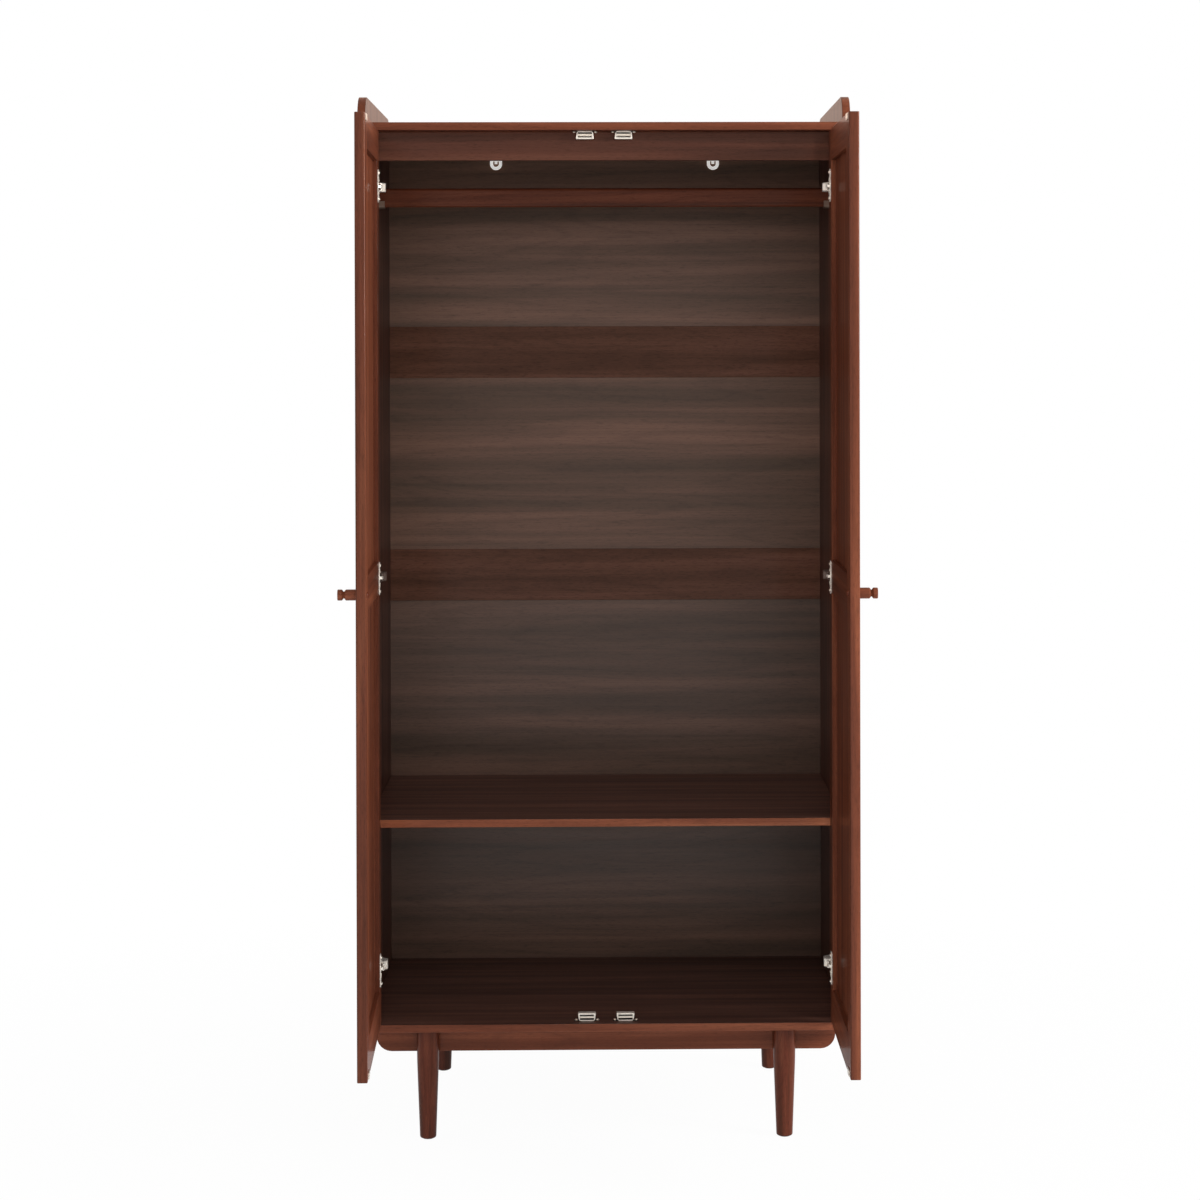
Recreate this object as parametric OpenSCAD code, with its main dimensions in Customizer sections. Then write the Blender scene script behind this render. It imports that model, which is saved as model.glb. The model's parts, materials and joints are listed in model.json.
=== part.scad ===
// Two-door wardrobe on four turned legs: panel carcass, frame-and-panel doors
// inset between the sides, concealed cup hinges, one hanging rail and one shelf.
// Millimetres, +Z up. X = 0 is the middle of the width, Z = 0 the floor. The
// modules are written with Y = 0 at the front edge of the side panels and +Y
// into the carcass; in_place() then puts the middle of the depth at Y = 0.

/* [Carcass] */
// Outside width over the two side panels
cabinet_w = 915; // [820:1:1100]
// Depth of the side panels, front edge to back edge
cabinet_d = 590; // [540:1:680]
// Height of the side panels' top edge above the floor
cabinet_h = 1946; // [1850:1:2100]
// Thickness of the side, top and bottom panels, the shelf and the rails
board_t = 15; // [15:0.5:20]
// Rise of the side panels above the top panel
side_rise = 50; // [20:1:80]
// Radius of the side panels' upper corners
side_corner_r = 45; // [10:1:80]
// Rounding of the boards' front edges
arris_r = 1.5; // [0.5:0.1:3]
// Height of the front top rail
front_rail_h = 54; // [40:1:80]
// Setback of the front top rail's face from the front edges
front_rail_set = 36; // [36:1:60]

/* [Back] */
// Height of the three back rails
back_rail_h = 105; // [60:1:120]
// Height of the upper back rail's lower edge above the floor
back_upper_z = 1416; // [1350:1:1450]
// Height of the lower back rail's lower edge above the floor
back_lower_z = 958; // [850:1:1000]
// Thickness of the back panels
back_t = 5; // [3:0.5:6]
// Step from the back rails' face to the back panels' face
back_step = 3; // [1:0.5:5]
// Depth of the grooves that hold the back panels
back_groove = 6; // [4:0.5:8]

/* [Legs and aprons] */
// Height of the legs, floor to underside of the bottom panel
leg_h = 205; // [150:1:250]
// Diameter of the legs at the top
leg_top_d = 41; // [34:1:50]
// Diameter of the legs at the foot
leg_foot_d = 30.5; // [24:0.5:34]
// Length of the straight part at the top of the legs
leg_straight = 52; // [20:1:80]
// Rounding at the foot
leg_round = 4; // [1:0.5:6]
// Leg centre to the outer face of the nearest side panel
leg_inset_x = 124; // [80:1:180]
// Centre of a front leg to the front edge
leg_inset_front = 36; // [30:1:60]
// Centre of a rear leg to the back edge
leg_inset_back = 50; // [30:1:80]
// Height of the aprons
apron_h = 48; // [40:1:70]
// Gap from an apron's end to the inner plane of the side panel
apron_end_gap = 11.5; // [5:0.5:40]
// Radius of the aprons' lower corners
apron_corner_r = 28; // [10:1:36]
// Gap between the legs and the apron behind them
apron_leg_gap = 1; // [0.5:0.5:5]
// Diameter of the nylon glides
glide_d = 20; // [14:1:22]
// Height by which the glides stand below the wood
glide_drop = 1; // [1:0.5:4]

/* [Shelf and hanging rail] */
// Height of the shelf's top above the floor
shelf_z = 598; // [450:1:700]
// Setback of the shelf from the front edges
shelf_set = 22; // [22:1:60]
// Height of the hanging rail
rail_h = 37; // [25:1:45]
// Thickness of the hanging rail
rail_t = 20; // [16:1:30]
// Rounding of the hanging rail's long edges
rail_r = 6; // [1:0.5:7]
// Underside of the top panel to the hanging rail's centre
rail_drop = 110; // [100:1:180]
// Length of the cradles that hold the rail's ends
cradle_l = 13; // [8:1:20]
// Wall of the cradles and of their side plates
cradle_t = 2.2; // [1.5:0.1:3]

/* [Doors] */
// Thickness of the door frames
door_t = 18; // [16:0.5:18]
// Gap between a door's hinge edge and the side panel
side_gap = 2; // [1.5:0.1:3]
// Gap between the two closed doors
centre_gap = 3; // [2.5:0.1:4]
// Gap above the doors
door_gap_top = 2; // [1.5:0.1:4]
// Gap below the doors
door_gap_foot = 5; // [2:0.1:8]
// Width of the stiles
stile_w = 58; // [50:1:80]
// Height of the doors' top rails
top_rail_h = 58; // [50:1:90]
// Height of the doors' middle rails
mid_rail_h = 60; // [50:1:90]
// Height of the doors' bottom rails
foot_rail_h = 68; // [50:1:100]
// Height of the middle rails' and knobs' centre above the floor
knob_z = 1055; // [1010:1:1090]
// Thickness of the door panels
panel_t = 5; // [4:0.5:6]
// Depth of the panels' inner face below the frame
panel_set = 8; // [5:0.5:9]
// Depth of the grooves that hold the door panels
panel_groove = 8; // [5:0.5:9]
// Angle from closed at which the left door stands
left_open = 88.5; // [0:0.5:95]
// Angle from closed at which the right door stands
right_open = 90; // [0:0.5:95]

/* [Knobs] */
// Length of the knobs
knob_l = 32.5; // [28:0.5:45]
// Diameter of the knobs
knob_d = 19; // [16:0.5:26]
// Diameter of the neck
knob_neck_d = 11.5; // [8:0.5:12]
// Length of the head in front of the neck
knob_head = 7.7; // [4:0.1:8]
// Length of the tapers on each side of the neck
knob_taper = 3.2; // [2:0.1:4]

/* [Hinges] */
// Distance of the end hinges from the ends of the doors
hinge_end = 103; // [80:1:150]
// Door edge to the middle of the cup
cup_edge = 22.5; // [21.5:0.5:24]
// Outside diameter of the cup
cup_d = 35; // [35:0.1:35.5]
// Depth of the cup
cup_depth = 11.5; // [11:0.1:12]
// Length of the cup's flange
flange_l = 61; // [58:1:64]
// Distance between the cup's two screws
cup_screw_gap = 48; // [46:0.5:50]
// Front edge to the hinge plate's screws, with the door thickness left out
plate_set = 37; // [36:1:40]
// Distance between the two screws of a hinge plate
plate_screw_gap = 32; // [30:1:34]
// Width of the hinge arms
arm_w = 16; // [15.6:0.1:17]

/* [Catches and wall restraints] */
// Width of the magnetic catches
catch_w = 33.5; // [28:0.5:40]
// Height of the magnetic catches
catch_h = 15; // [14:0.5:16]
// Depth of the magnetic catches
catch_d = 14; // [12:0.5:14]
// Middle of the width to the middle of a catch
catch_x = 36; // [32:0.5:50]
// Thickness of the strike plates
strike_t = 1.5; // [1:0.1:1.5]
// Middle of the width to a wall restraint
restraint_x = 223; // [150:1:320]
// Width of a wall restraint
restraint_w = 24.5; // [20:0.5:28]
// Length of a wall restraint
restraint_l = 37; // [30:0.5:40]
// Thickness of a wall restraint
restraint_t = 5; // [4:0.5:7]

/* [Fits] */
// Clearance of wood joints, panels in grooves and dowels
wood_fit = 0.15; // [0.1:0.05:0.3]
// Radial clearance of screws and bolts in their holes
screw_fit = 0.1; // [0.05:0.05:0.2]
// Radial clearance of the hinge pins
pin_fit = 0.06; // [0.02:0.01:0.1]
// Gap between a closed door's strike plate and the catch
strike_gap = 0.4; // [0.3:0.1:1]

/* [Hidden] */
$fn = 48;

cut = 0.5;                                  // how far a cutter runs past a face
inner_w = cabinet_w - 2 * board_t;
floor_z = leg_h + board_t;                  // top of the bottom panel
roof_z = cabinet_h - side_rise - board_t;   // underside of the top panel
rail_z = roof_z - rail_drop;
door_z0 = floor_z + door_gap_foot;
door_z1 = roof_z - door_gap_top;
door_h = door_z1 - door_z0;
door_w = inner_w / 2 - side_gap - centre_gap / 2;

// A door turns about a virtual axis just outside its front hinge corner.
pivot_in = 4;                               // inward of the side panel's inner face
pivot_out = 3;                              // in front of the front edges
reach = door_w + side_gap - pivot_in + pivot_out;
front_y = (reach - cabinet_d) / 2;          // where the front edges lie in the part

// Back: rails against the back edge, panels in grooves behind the rails' face
rail_y = cabinet_d - board_t;
back_y = rail_y + back_step;
back_top_z = roof_z - back_rail_h;
back_rail_zs = [back_top_z, back_upper_z, back_lower_z];

apron_gap = leg_top_d / 2 + apron_leg_gap;     // leg centre to the apron's face
apron_ys = [leg_inset_front + apron_gap, cabinet_d - leg_inset_back - apron_gap - board_t];
apron_l = inner_w - 2 * apron_end_gap;
leg_x = cabinet_w / 2 - leg_inset_x;
leg_ys = [leg_inset_front, cabinet_d - leg_inset_back];

// Dowels and cam fittings along the ends of the top and bottom panels
dowel_d = 8;
dowel_l = 30;
dowel_side = 9;                             // depth in the side panel
end_dowel_set = [75, 60];                    // from the front and back edges
end_dowel_ys = [end_dowel_set[0], cabinet_d - end_dowel_set[1]];
cam_set = [120, 110];
cam_ys = [cam_set[0], cabinet_d - cam_set[1]];
cam_d = 15;
cam_h = 12;
cam_end = 24;                               // cam centre to the panel's end
bolt_d = 6;
bolt_head_d = 7;
bolt_side = 9;                              // depth in the side panel
cam_slot_d = bolt_head_d + 1;

// Leg fixings
leg_bolt_d = 8;
leg_bolt_down = 40;
leg_insert_d = 12;
leg_insert_h = 12;
glide_seat = 3;

// Screws
screw_d = 3.5;
screw_head_d = 7;
screw_head_h = 2;
screw_l = 12;
door_screw_l = 10;
knob_screw_d = 4;
knob_screw_in = 14;                         // length in the knob

// Shelf pins
pin_d = 5;
pin_in = 9;
pin_out = 9;
pin_h = 8;
pin_t = 3;
pin_ys = [shelf_set + 40, rail_y - 50];

// Hinge parts, seen from above: u inward from the pivot, v into the carcass
face_v = door_t + pivot_out;                // the door's inner face when closed
cup_wall = 1;
flange_t = 1.4;
flange_off = 6;                             // screws' line to the cup's middle
flange_w = 16;
eye = [21, 14.2];                           // pin that the link turns on
eye_r = 3;
hinge_pin_r = 1.5;
link_r = 2.2;
link_z = 3.2;                               // the pair of link plates lies from here
link_t = 2.8;
link_end = [-1.4, face_v + 3.8];            // its end on the door's face when open
link_dir = atan2(link_end[1] - eye[0], link_end[0] + eye[1]);
link_free = 0.8;                            // how far it stops short of that end
link_l = norm([link_end[0] + eye[1], link_end[1] - eye[0]]) - link_free;
neck_t = 4.8;                               // the cup's bridge, between the links
neck_end_r = 2;
arm_wall = 1.5;
arm_top_u = 31;
arm_low_u = 14;
arm_front_v = face_v + 3;
arm_side_u = 16.5;
arm_base_u = 2;
arm_knee_v = 40;                            // the arm narrows from here
arm_neck_v = 56;                            // to here
arm_screw_vs = [66, 82];
arm_screw_d = 8;
arm_screw_h = 1.4;
arm_back_v = 92;
plate_t = 2.5;
plate_y = plate_set + door_t;               // the plate's screws, from the front edge
plate_block_w = arm_w - 2 * arm_wall - 1;
plate_wing = 12;
plate_l = plate_screw_gap + 18;
hinge_zs = [door_z0 + hinge_end, (door_z0 + door_z1) / 2, door_z1 - hinge_end];

// Catches stand behind the closed doors' strike plates
catch_y = door_t + strike_t + strike_gap;
catch_wall = 2.6;
pole_t = 1.2;
magnet_h = 3;
catch_back = 2;
catch_ear_w = 48;
catch_ear_t = 1.2;
catch_screw_x = 20;
catch_taper = 3;
strike_w = 30;
strike_h = 11;
strike_edge = 1;                            // strike plate to the end of the door

// ---------- outlines ----------

function arc(c, r, a0, a1, n = 8) =
    [for (i = [0 : n]) c + r * [cos(a0 + (a1 - a0) * i / n), sin(a0 + (a1 - a0) * i / n)]];

// Rectangle from the origin with its own radius at each corner, counter-clockwise
// from the origin; a radius of 0 leaves the corner sharp.
function soft_rect(w, h, r) = concat(
    r[0] > 0 ? arc([r[0], r[0]], r[0], 180, 270) : [[0, 0]],
    r[1] > 0 ? arc([w - r[1], r[1]], r[1], 270, 360) : [[w, 0]],
    r[2] > 0 ? arc([w - r[2], h - r[2]], r[2], 0, 90) : [[w, h]],
    r[3] > 0 ? arc([r[3], h - r[3]], r[3], 90, 180) : [[0, h]]);

// ---------- shared building blocks ----------

module in_place() translate([0, front_y, 0]) children();

module mirrored() mirror([1, 0, 0]) children();

// The same piece on both sides
module both() { children(); mirrored() children(); }

// A bar along X, centred on X = 0, from the given front lower edge. Radii run
// from the front lower edge: front lower, back lower, back upper, front upper.
module bar_x(l, d, h, r = [0, 0, 0, 0])
    translate([-l / 2, 0, 0]) rotate([90, 0, 90])
        linear_extrude(l) polygon(soft_rect(d, h, r));

module upright(w, d, h, r = [0, 0, 0, 0])
    linear_extrude(h) polygon(soft_rect(w, d, r));

// A cylinder along +X, +Y or -Y
module rod_x(d, l) rotate([0, 90, 0]) cylinder(d = d, h = l);
module rod_y(d, l) rotate([-90, 0, 0]) cylinder(d = d, h = l);

// Origin on the inner face of the left side panel, at the front edge
module left_inner() translate([-inner_w / 2, 0, 0]) children();

// Origin on the hinge pivot of the left door, u along X and v along Y
module left_pivot() translate([pivot_in - inner_w / 2, -pivot_out, 0]) children();

// The left door's own frame: X from the hinge edge, Y from the outer face,
// Z from the floor, swung open by angle a
module door_frame(a)
    left_pivot() rotate([0, 0, -a])
        translate([side_gap - pivot_in, pivot_out, 0]) children();

module on_left_door() in_place() door_frame(left_open) children();
module on_right_door() in_place() mirrored() door_frame(right_open) children();

// ---------- joints and fasteners ----------

// Dowels along X across the joint of a side panel and a piece between the sides
module end_dowel(y, z, fit = 0)
    left_inner() translate([-dowel_side - fit, y, z]) rod_x(dowel_d + 2 * fit, dowel_l + 2 * fit);

module end_dowels(fit = 0) both() {
    for (y = end_dowel_ys, z = [leg_h, roof_z]) end_dowel(y, z + board_t / 2, fit);
    for (z = [-1, 1] * front_rail_h / 4)
        end_dowel(front_rail_set + board_t / 2, roof_z - front_rail_h / 2 + z, fit);
    for (z0 = back_rail_zs, z = [0.25, 0.75] * back_rail_h)
        end_dowel(rail_y + board_t / 2, z0 + z, fit);
}

// Dowels that hold the aprons under the bottom panel
apron_dowel_up = 9;
module apron_dowels(fit = 0)
    for (x = [-0.4, 0, 0.4] * apron_l, y = apron_ys)
        translate([x, y + board_t / 2, leg_h + apron_dowel_up - dowel_l - fit])
            cylinder(d = dowel_d + 2 * fit, h = dowel_l + 2 * fit);

module at_cams() both() left_inner()
    for (y = cam_ys, z = [leg_h, roof_z]) translate([0, y, z]) children();

module cam_bores() at_cams() {
    translate([cam_end, 0, -cut]) cylinder(d = cam_d + 2 * wood_fit, h = cam_h + 2 * cut);
    translate([-bolt_side - screw_fit, 0, board_t / 2])
        rod_x(bolt_d + 2 * screw_fit, bolt_side + cut);
    translate([-cut, 0, board_t / 2]) rod_x(cam_slot_d, cam_end + cut);
}

// A pan-head wood screw along -Z with its head resting on Z = 0
module wood_screw(l = screw_l, d = screw_d) {
    cylinder(d1 = screw_head_d, d2 = screw_head_d * 0.6, h = screw_head_h);
    translate([0, 0, -l]) cylinder(d = d, h = l + cut / 10);
}
module screw_hole(l = screw_l, d = screw_d, above = 6)
    translate([0, 0, -l - screw_fit]) cylinder(d = d + 2 * screw_fit, h = l + above);

// Places of the carcass's wood screws, with +Z along each screw's head
module at_plate_screws() both() left_inner()
    for (hz = hinge_zs, s = [-1, 1])
        translate([plate_t, plate_y, hz + s * plate_screw_gap / 2]) rotate([0, 90, 0]) children();
module at_catch_screws() both() for (s = [-1, 1]) {
    translate([catch_x + s * catch_screw_x, catch_y + catch_d / 2, roof_z - catch_ear_t])
        rotate([180, 0, 0]) children();
    translate([catch_x + s * catch_screw_x, catch_y + catch_d / 2, floor_z + catch_ear_t])
        children();
}
restraint_screw_z = roof_z - 8;
module at_restraint_screws() both()
    translate([restraint_x, rail_y - restraint_t, restraint_screw_z])
        rotate([90, 0, 0]) children();
cradle_screw_dy = rail_t / 2 + 8;
cradle_y = cabinet_d / 2;
module at_cradle_screws() both() left_inner()
    for (s = [-1, 1]) translate([cradle_t, cradle_y + s * cradle_screw_dy, rail_z])
        rotate([0, 90, 0]) children();
module at_side_screws() { at_plate_screws() children(); at_cradle_screws() children(); }

// ---------- carcass ----------

module side_outline() {
    difference() {
        translate([0, leg_h]) square([cabinet_d, cabinet_h - leg_h]);
        for (y = [-cut, cabinet_d - side_corner_r])
            translate([y, cabinet_h - side_corner_r])
                square([side_corner_r + cut, side_corner_r + cut]);
    }
    for (y = [side_corner_r, cabinet_d - side_corner_r])
        translate([y, cabinet_h - side_corner_r]) circle(side_corner_r, $fn = 96);
}

// Groove for the back panels, cut into the inner face
module back_grooves(x0, l, z0, z1)
    translate([x0, back_y - wood_fit, z0]) cube([l, back_t + 2 * wood_fit, z1 - z0]);

module side_panel() difference() {
    left_inner() translate([-board_t, 0, 0]) rotate([90, 0, 90])
        linear_extrude(board_t) side_outline();
    left_inner() back_grooves(-back_groove, back_groove + cut, floor_z - back_groove,
        roof_z - back_rail_h / 2);
    end_dowels(wood_fit);
    cam_bores();
    at_side_screws() screw_hole();
    for (y = pin_ys) left_inner() translate([-pin_in, y, shelf_z - board_t - pin_h / 2])
        rod_x(pin_d + 2 * wood_fit, pin_in + cut);
}
module left_side_panel() color("#5a3022") in_place() side_panel();
module right_side_panel() color("#5a3022") in_place() mirrored() side_panel();

module top_panel() color("#63372a") in_place() difference() {
    translate([0, 0, roof_z]) bar_x(inner_w, cabinet_d, board_t, [arris_r, 0, 0, arris_r]);
    end_dowels(wood_fit);
    cam_bores();
    at_catch_screws() screw_hole();
}

module bottom_panel() color("#63372a") in_place() difference() {
    translate([0, 0, leg_h]) bar_x(inner_w, cabinet_d, board_t, [arris_r, 0, 0, arris_r]);
    back_grooves(-inner_w / 2 - cut, inner_w + 2 * cut, floor_z - back_groove, floor_z + cut);
    end_dowels(wood_fit);
    apron_dowels(wood_fit);
    cam_bores();
    at_catch_screws() screw_hole();
    at_legs() cylinder(d = leg_insert_d + 2 * screw_fit, h = leg_insert_h + screw_fit);
}

module shelf() color("#63372a") in_place()
    translate([0, shelf_set, shelf_z - board_t])
        bar_x(inner_w - 2 * wood_fit, rail_y - shelf_set - wood_fit, board_t,
            [arris_r, 0, 0, arris_r]);

module front_top_rail() color("#55302a") in_place() difference() {
    translate([0, front_rail_set, roof_z - front_rail_h])
        bar_x(inner_w, board_t, front_rail_h, [arris_r, 0, 0, 0]);
    end_dowels(wood_fit);
}

// A back rail with grooves for the panels above and below it
module back_rail(z0, above, below) color("#5d342a") in_place() difference() {
    translate([0, rail_y, z0]) bar_x(inner_w, board_t, back_rail_h);
    if (above) back_grooves(-inner_w / 2 - cut, inner_w + 2 * cut,
        z0 + back_rail_h - back_groove, z0 + back_rail_h + cut);
    if (below) back_grooves(-inner_w / 2 - cut, inner_w + 2 * cut, z0 - cut, z0 + back_groove);
    end_dowels(wood_fit);
    at_restraint_screws() screw_hole();
}
module back_top_rail() back_rail(back_top_z, false, true);
module back_upper_rail() back_rail(back_upper_z, true, true);
module back_lower_rail() back_rail(back_lower_z, true, true);

// A back panel between two heights, seated in the grooves all round
module back_panel(z0, z1) color("#4a3a33") in_place() {
    inset = back_groove - 2 * wood_fit;
    translate([-inner_w / 2 - inset, back_y, z0 - inset])
        cube([inner_w + 2 * inset, back_t, z1 - z0 + 2 * inset]);
}
module back_upper_panel() back_panel(back_upper_z + back_rail_h, back_top_z);
module back_middle_panel() back_panel(back_lower_z + back_rail_h, back_upper_z);
module back_lower_panel() back_panel(floor_z, back_lower_z);

// ---------- hanging rail ----------

module hanging_rail() color("#55302a") in_place()
    translate([0, cradle_y - rail_t / 2, rail_z - rail_h / 2])
        bar_x(inner_w - 2 * cradle_t - 2 * wood_fit, rail_t, rail_h,
            [rail_r, rail_r, rail_r, rail_r]);

cradle_plate_l = rail_t + 36;
cradle_up = 12;
module rail_cradles() color("#d8d2c6") in_place() both() left_inner()
    translate([0, cradle_y, rail_z]) difference() {
        union() {
            translate([0, -cradle_plate_l / 2, -10]) rotate([90, 0, 90])
                linear_extrude(cradle_t) polygon(soft_rect(cradle_plate_l, 20, [8, 8, 8, 8]));
            translate([0, -rail_t / 2 - cradle_t - wood_fit, -rail_h / 2 - cradle_t - wood_fit])
                rotate([90, 0, 90]) linear_extrude(cradle_l)
                    polygon(soft_rect(rail_t + 2 * cradle_t + 2 * wood_fit,
                        cradle_up + cradle_t, [rail_r, rail_r, 0, 0]));
            translate([0, -rail_t / 2, -rail_h / 2 - cradle_t - wood_fit])
                cube([cradle_t, rail_t, rail_h / 2 + cradle_t]);
        }
        translate([cradle_t, -rail_t / 2 - wood_fit, -rail_h / 2 - wood_fit])
            rotate([90, 0, 90]) linear_extrude(cradle_l)
                polygon(soft_rect(rail_t + 2 * wood_fit, rail_h, [rail_r, rail_r, 0, 0]));
        for (s = [-1, 1]) translate([-cut, s * cradle_screw_dy, 0])
            rod_x(screw_d + 2 * screw_fit, cradle_t + 2 * cut);
    }

// ---------- legs and aprons ----------

module apron(y) color("#5d3226") in_place() difference() {
    translate([-apron_l / 2, y + board_t, leg_h - apron_h]) rotate([90, 0, 0])
        linear_extrude(board_t) apron_outline();
    apron_dowels(wood_fit);
}
module apron_outline() intersection() {
    square([apron_l, apron_h]);
    union() {
        translate([0, apron_corner_r]) square([apron_l, apron_h]);
        translate([apron_corner_r, 0]) square([apron_l - 2 * apron_corner_r, apron_h]);
        for (x = [apron_corner_r, apron_l - apron_corner_r])
            translate([x, apron_corner_r]) circle(apron_corner_r, $fn = 96);
    }
}
module front_apron() apron(apron_ys[0]);
module rear_apron() apron(apron_ys[1]);

module at_legs()
    for (x = [-leg_x, leg_x], y = leg_ys) translate([x, y, leg_h]) children();

// Turned leg with its top on Z = 0: straight below the top, then a taper
module leg_body() difference() {
    rotate_extrude($fn = 64) polygon(concat(
        [[0, 0], [leg_top_d / 2, 0], [leg_top_d / 2, -leg_straight]],
        arc([leg_foot_d / 2 - leg_round, glide_drop + leg_round - leg_h], leg_round, 0, -90),
        [[0, glide_drop - leg_h]]));
    translate([0, 0, -leg_bolt_down - screw_fit])
        cylinder(d = leg_bolt_d + 2 * screw_fit, h = leg_bolt_down + 1);
    translate([0, 0, glide_drop - leg_h - cut])
        cylinder(d = glide_d + 2 * wood_fit, h = glide_seat + cut);
}
module leg(side, y) color("#6b3a2a") in_place()
    translate([side * leg_x, y, leg_h]) leg_body();
module front_left_leg() leg(-1, leg_ys[0]);
module front_right_leg() leg(1, leg_ys[0]);
module rear_left_leg() leg(-1, leg_ys[1]);
module rear_right_leg() leg(1, leg_ys[1]);

module leg_bolts() color("silver") in_place() at_legs()
    translate([0, 0, -leg_bolt_down])
        cylinder(d = leg_bolt_d, h = leg_bolt_down + leg_insert_h - 1);
module leg_inserts() color("goldenrod") in_place() at_legs() difference() {
    cylinder(d = leg_insert_d, h = leg_insert_h);
    translate([0, 0, -cut]) cylinder(d = leg_bolt_d + 2 * screw_fit, h = leg_insert_h + 2 * cut);
}
module leg_glides() color("#2a2a2a") in_place()
    for (x = [-leg_x, leg_x], y = leg_ys) translate([x, y, 0])
        cylinder(d = glide_d, h = glide_drop + glide_seat);

// ---------- catches and wall restraints ----------

// Runs its child at the four catches, turned so that Z = 0 is the panel it is on
module at_catches() both() {
    translate([catch_x, catch_y, roof_z]) mirror([0, 0, 1]) children();
    translate([catch_x, catch_y, floor_z]) children();
}
catch_slot_w = catch_w - 2 * catch_wall - 2;
catch_slot_h = catch_h - 2 * catch_wall;
module catch_outline() polygon([
    [-catch_w / 2 + catch_taper, 0], [catch_w / 2 - catch_taper, 0],
    [catch_w / 2, catch_taper * 1.4], [catch_w / 2, catch_h - 1],
    [catch_w / 2 - 1, catch_h], [1 - catch_w / 2, catch_h],
    [-catch_w / 2, catch_h - 1], [-catch_w / 2, catch_taper * 1.4]]);
module catch_bodies() color("#d9d2c4") in_place() at_catches() difference() {
    union() {
        translate([0, catch_d, 0]) rotate([90, 0, 0]) linear_extrude(catch_d) catch_outline();
        translate([-catch_ear_w / 2, 1, 0]) upright(catch_ear_w, catch_d - 2, catch_ear_t,
            [5, 5, 5, 5]);
    }
    translate([-catch_slot_w / 2, -cut, catch_wall])
        cube([catch_slot_w, catch_d - catch_back + cut, catch_slot_h]);
    for (s = [-1, 1]) translate([s * catch_screw_x, catch_d / 2, -cut])
        cylinder(d = screw_d + 2 * screw_fit, h = catch_ear_t + 2 * cut);
}
module catch_pole_plates() color("#a9a49a") in_place() at_catches()
    for (z = [catch_wall, catch_h - catch_wall - pole_t])
        translate([-catch_slot_w / 2 + 0.2, 0, z])
            cube([catch_slot_w - 0.4, catch_d - catch_back, pole_t]);
module catch_magnets() color("#cfcabe") in_place() at_catches()
    translate([-catch_slot_w / 2 + 0.2, 0.5, (catch_h - magnet_h) / 2])
        cube([catch_slot_w - 0.4, catch_d - catch_back - 0.5, magnet_h]);

// White plastic loop on the top back rail, for a strap to the wall
restraint_slot = 12;
restraint_tongue = 5.6;
module restraint_outline() difference() {
    union() {
        circle(d = restraint_w);
        translate([-restraint_w / 2, 0]) square([restraint_w, restraint_l - restraint_w / 2 - 2]);
        translate([2 - restraint_w / 2, 0]) square([restraint_w - 4, restraint_l - restraint_w / 2]);
    }
    difference() {
        union() {
            circle(d = restraint_slot);
            translate([-restraint_slot / 2, 0]) square([restraint_slot, restraint_tongue]);
        }
        translate([-restraint_tongue / 2, 0]) square([restraint_tongue, restraint_l]);
    }
}
module wall_restraints() color("white") in_place() both()
    translate([restraint_x, rail_y, roof_z - 1 - restraint_l + restraint_w / 2])
        rotate([90, 0, 0]) linear_extrude(restraint_t) difference() {
            restraint_outline();
            translate([0, restraint_screw_z - roof_z + 1 + restraint_l - restraint_w / 2])
                circle(d = screw_d + 2 * screw_fit);
        }

module wood_screws() color("#c9c4ba") in_place() {
    at_side_screws() wood_screw();
    at_catch_screws() wood_screw();
    at_restraint_screws() wood_screw();
}

// ---------- loose fittings ----------

module shelf_pins() color("#c9c4ba") in_place() both() left_inner()
    for (y = pin_ys) translate([0, y, shelf_z - board_t - pin_h / 2]) {
        translate([-pin_in + wood_fit, 0, 0]) rod_x(pin_d, pin_in + cut);
        translate([0, -pin_h / 2, -pin_h / 2]) cube([pin_t, pin_h, pin_h]);
        translate([0, -pin_h / 2, pin_h / 2 - pin_t]) cube([pin_out, pin_h, pin_t]);
    }

module cam_locks() color("#b8b4aa") in_place() at_cams() difference() {
    translate([cam_end, 0, 0]) cylinder(d = cam_d, h = cam_h);
    translate([0, 0, board_t / 2]) rod_x(cam_slot_d, cam_end + bolt_head_d / 2);
    translate([cam_end - 4, -0.6, -cut]) cube([8, 1.2, 2]);
}
module cam_bolts() color("#c9c4ba") in_place() at_cams() translate([0, 0, board_t / 2]) {
    translate([-bolt_side, 0, 0]) rod_x(bolt_d, bolt_side + cam_end);
    translate([cam_end, 0, 0]) rod_x(bolt_head_d, bolt_head_d / 2 - 0.5);
}
module dowels() color("burlywood") in_place() { end_dowels(); apron_dowels(); }

// ---------- hinges ----------

module at_left_hinges() for (z = hinge_zs) translate([0, 0, z]) children();

module hinge_plate() difference() {
    left_inner() {
        translate([0, plate_y - plate_wing / 2, -plate_l / 2]) rotate([90, 0, 90])
            linear_extrude(plate_t) polygon(soft_rect(plate_wing, plate_l, [5, 5, 5, 5]));
        translate([0, plate_y - plate_wing / 2, -plate_block_w / 2])
            cube([pivot_in + arm_low_u - arm_wall, arm_back_v - pivot_out - plate_y,
                plate_block_w]);
    }
    left_inner() for (s = [-1, 1]) translate([-cut, plate_y, s * plate_screw_gap / 2])
        rod_x(screw_d + 2 * screw_fit, plate_t + 2 * cut);
}
module left_hinge_plates() color("#cfc9bc") in_place() at_left_hinges() hinge_plate();
module right_hinge_plates() color("#cfc9bc") in_place() mirrored() at_left_hinges() hinge_plate();

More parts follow.
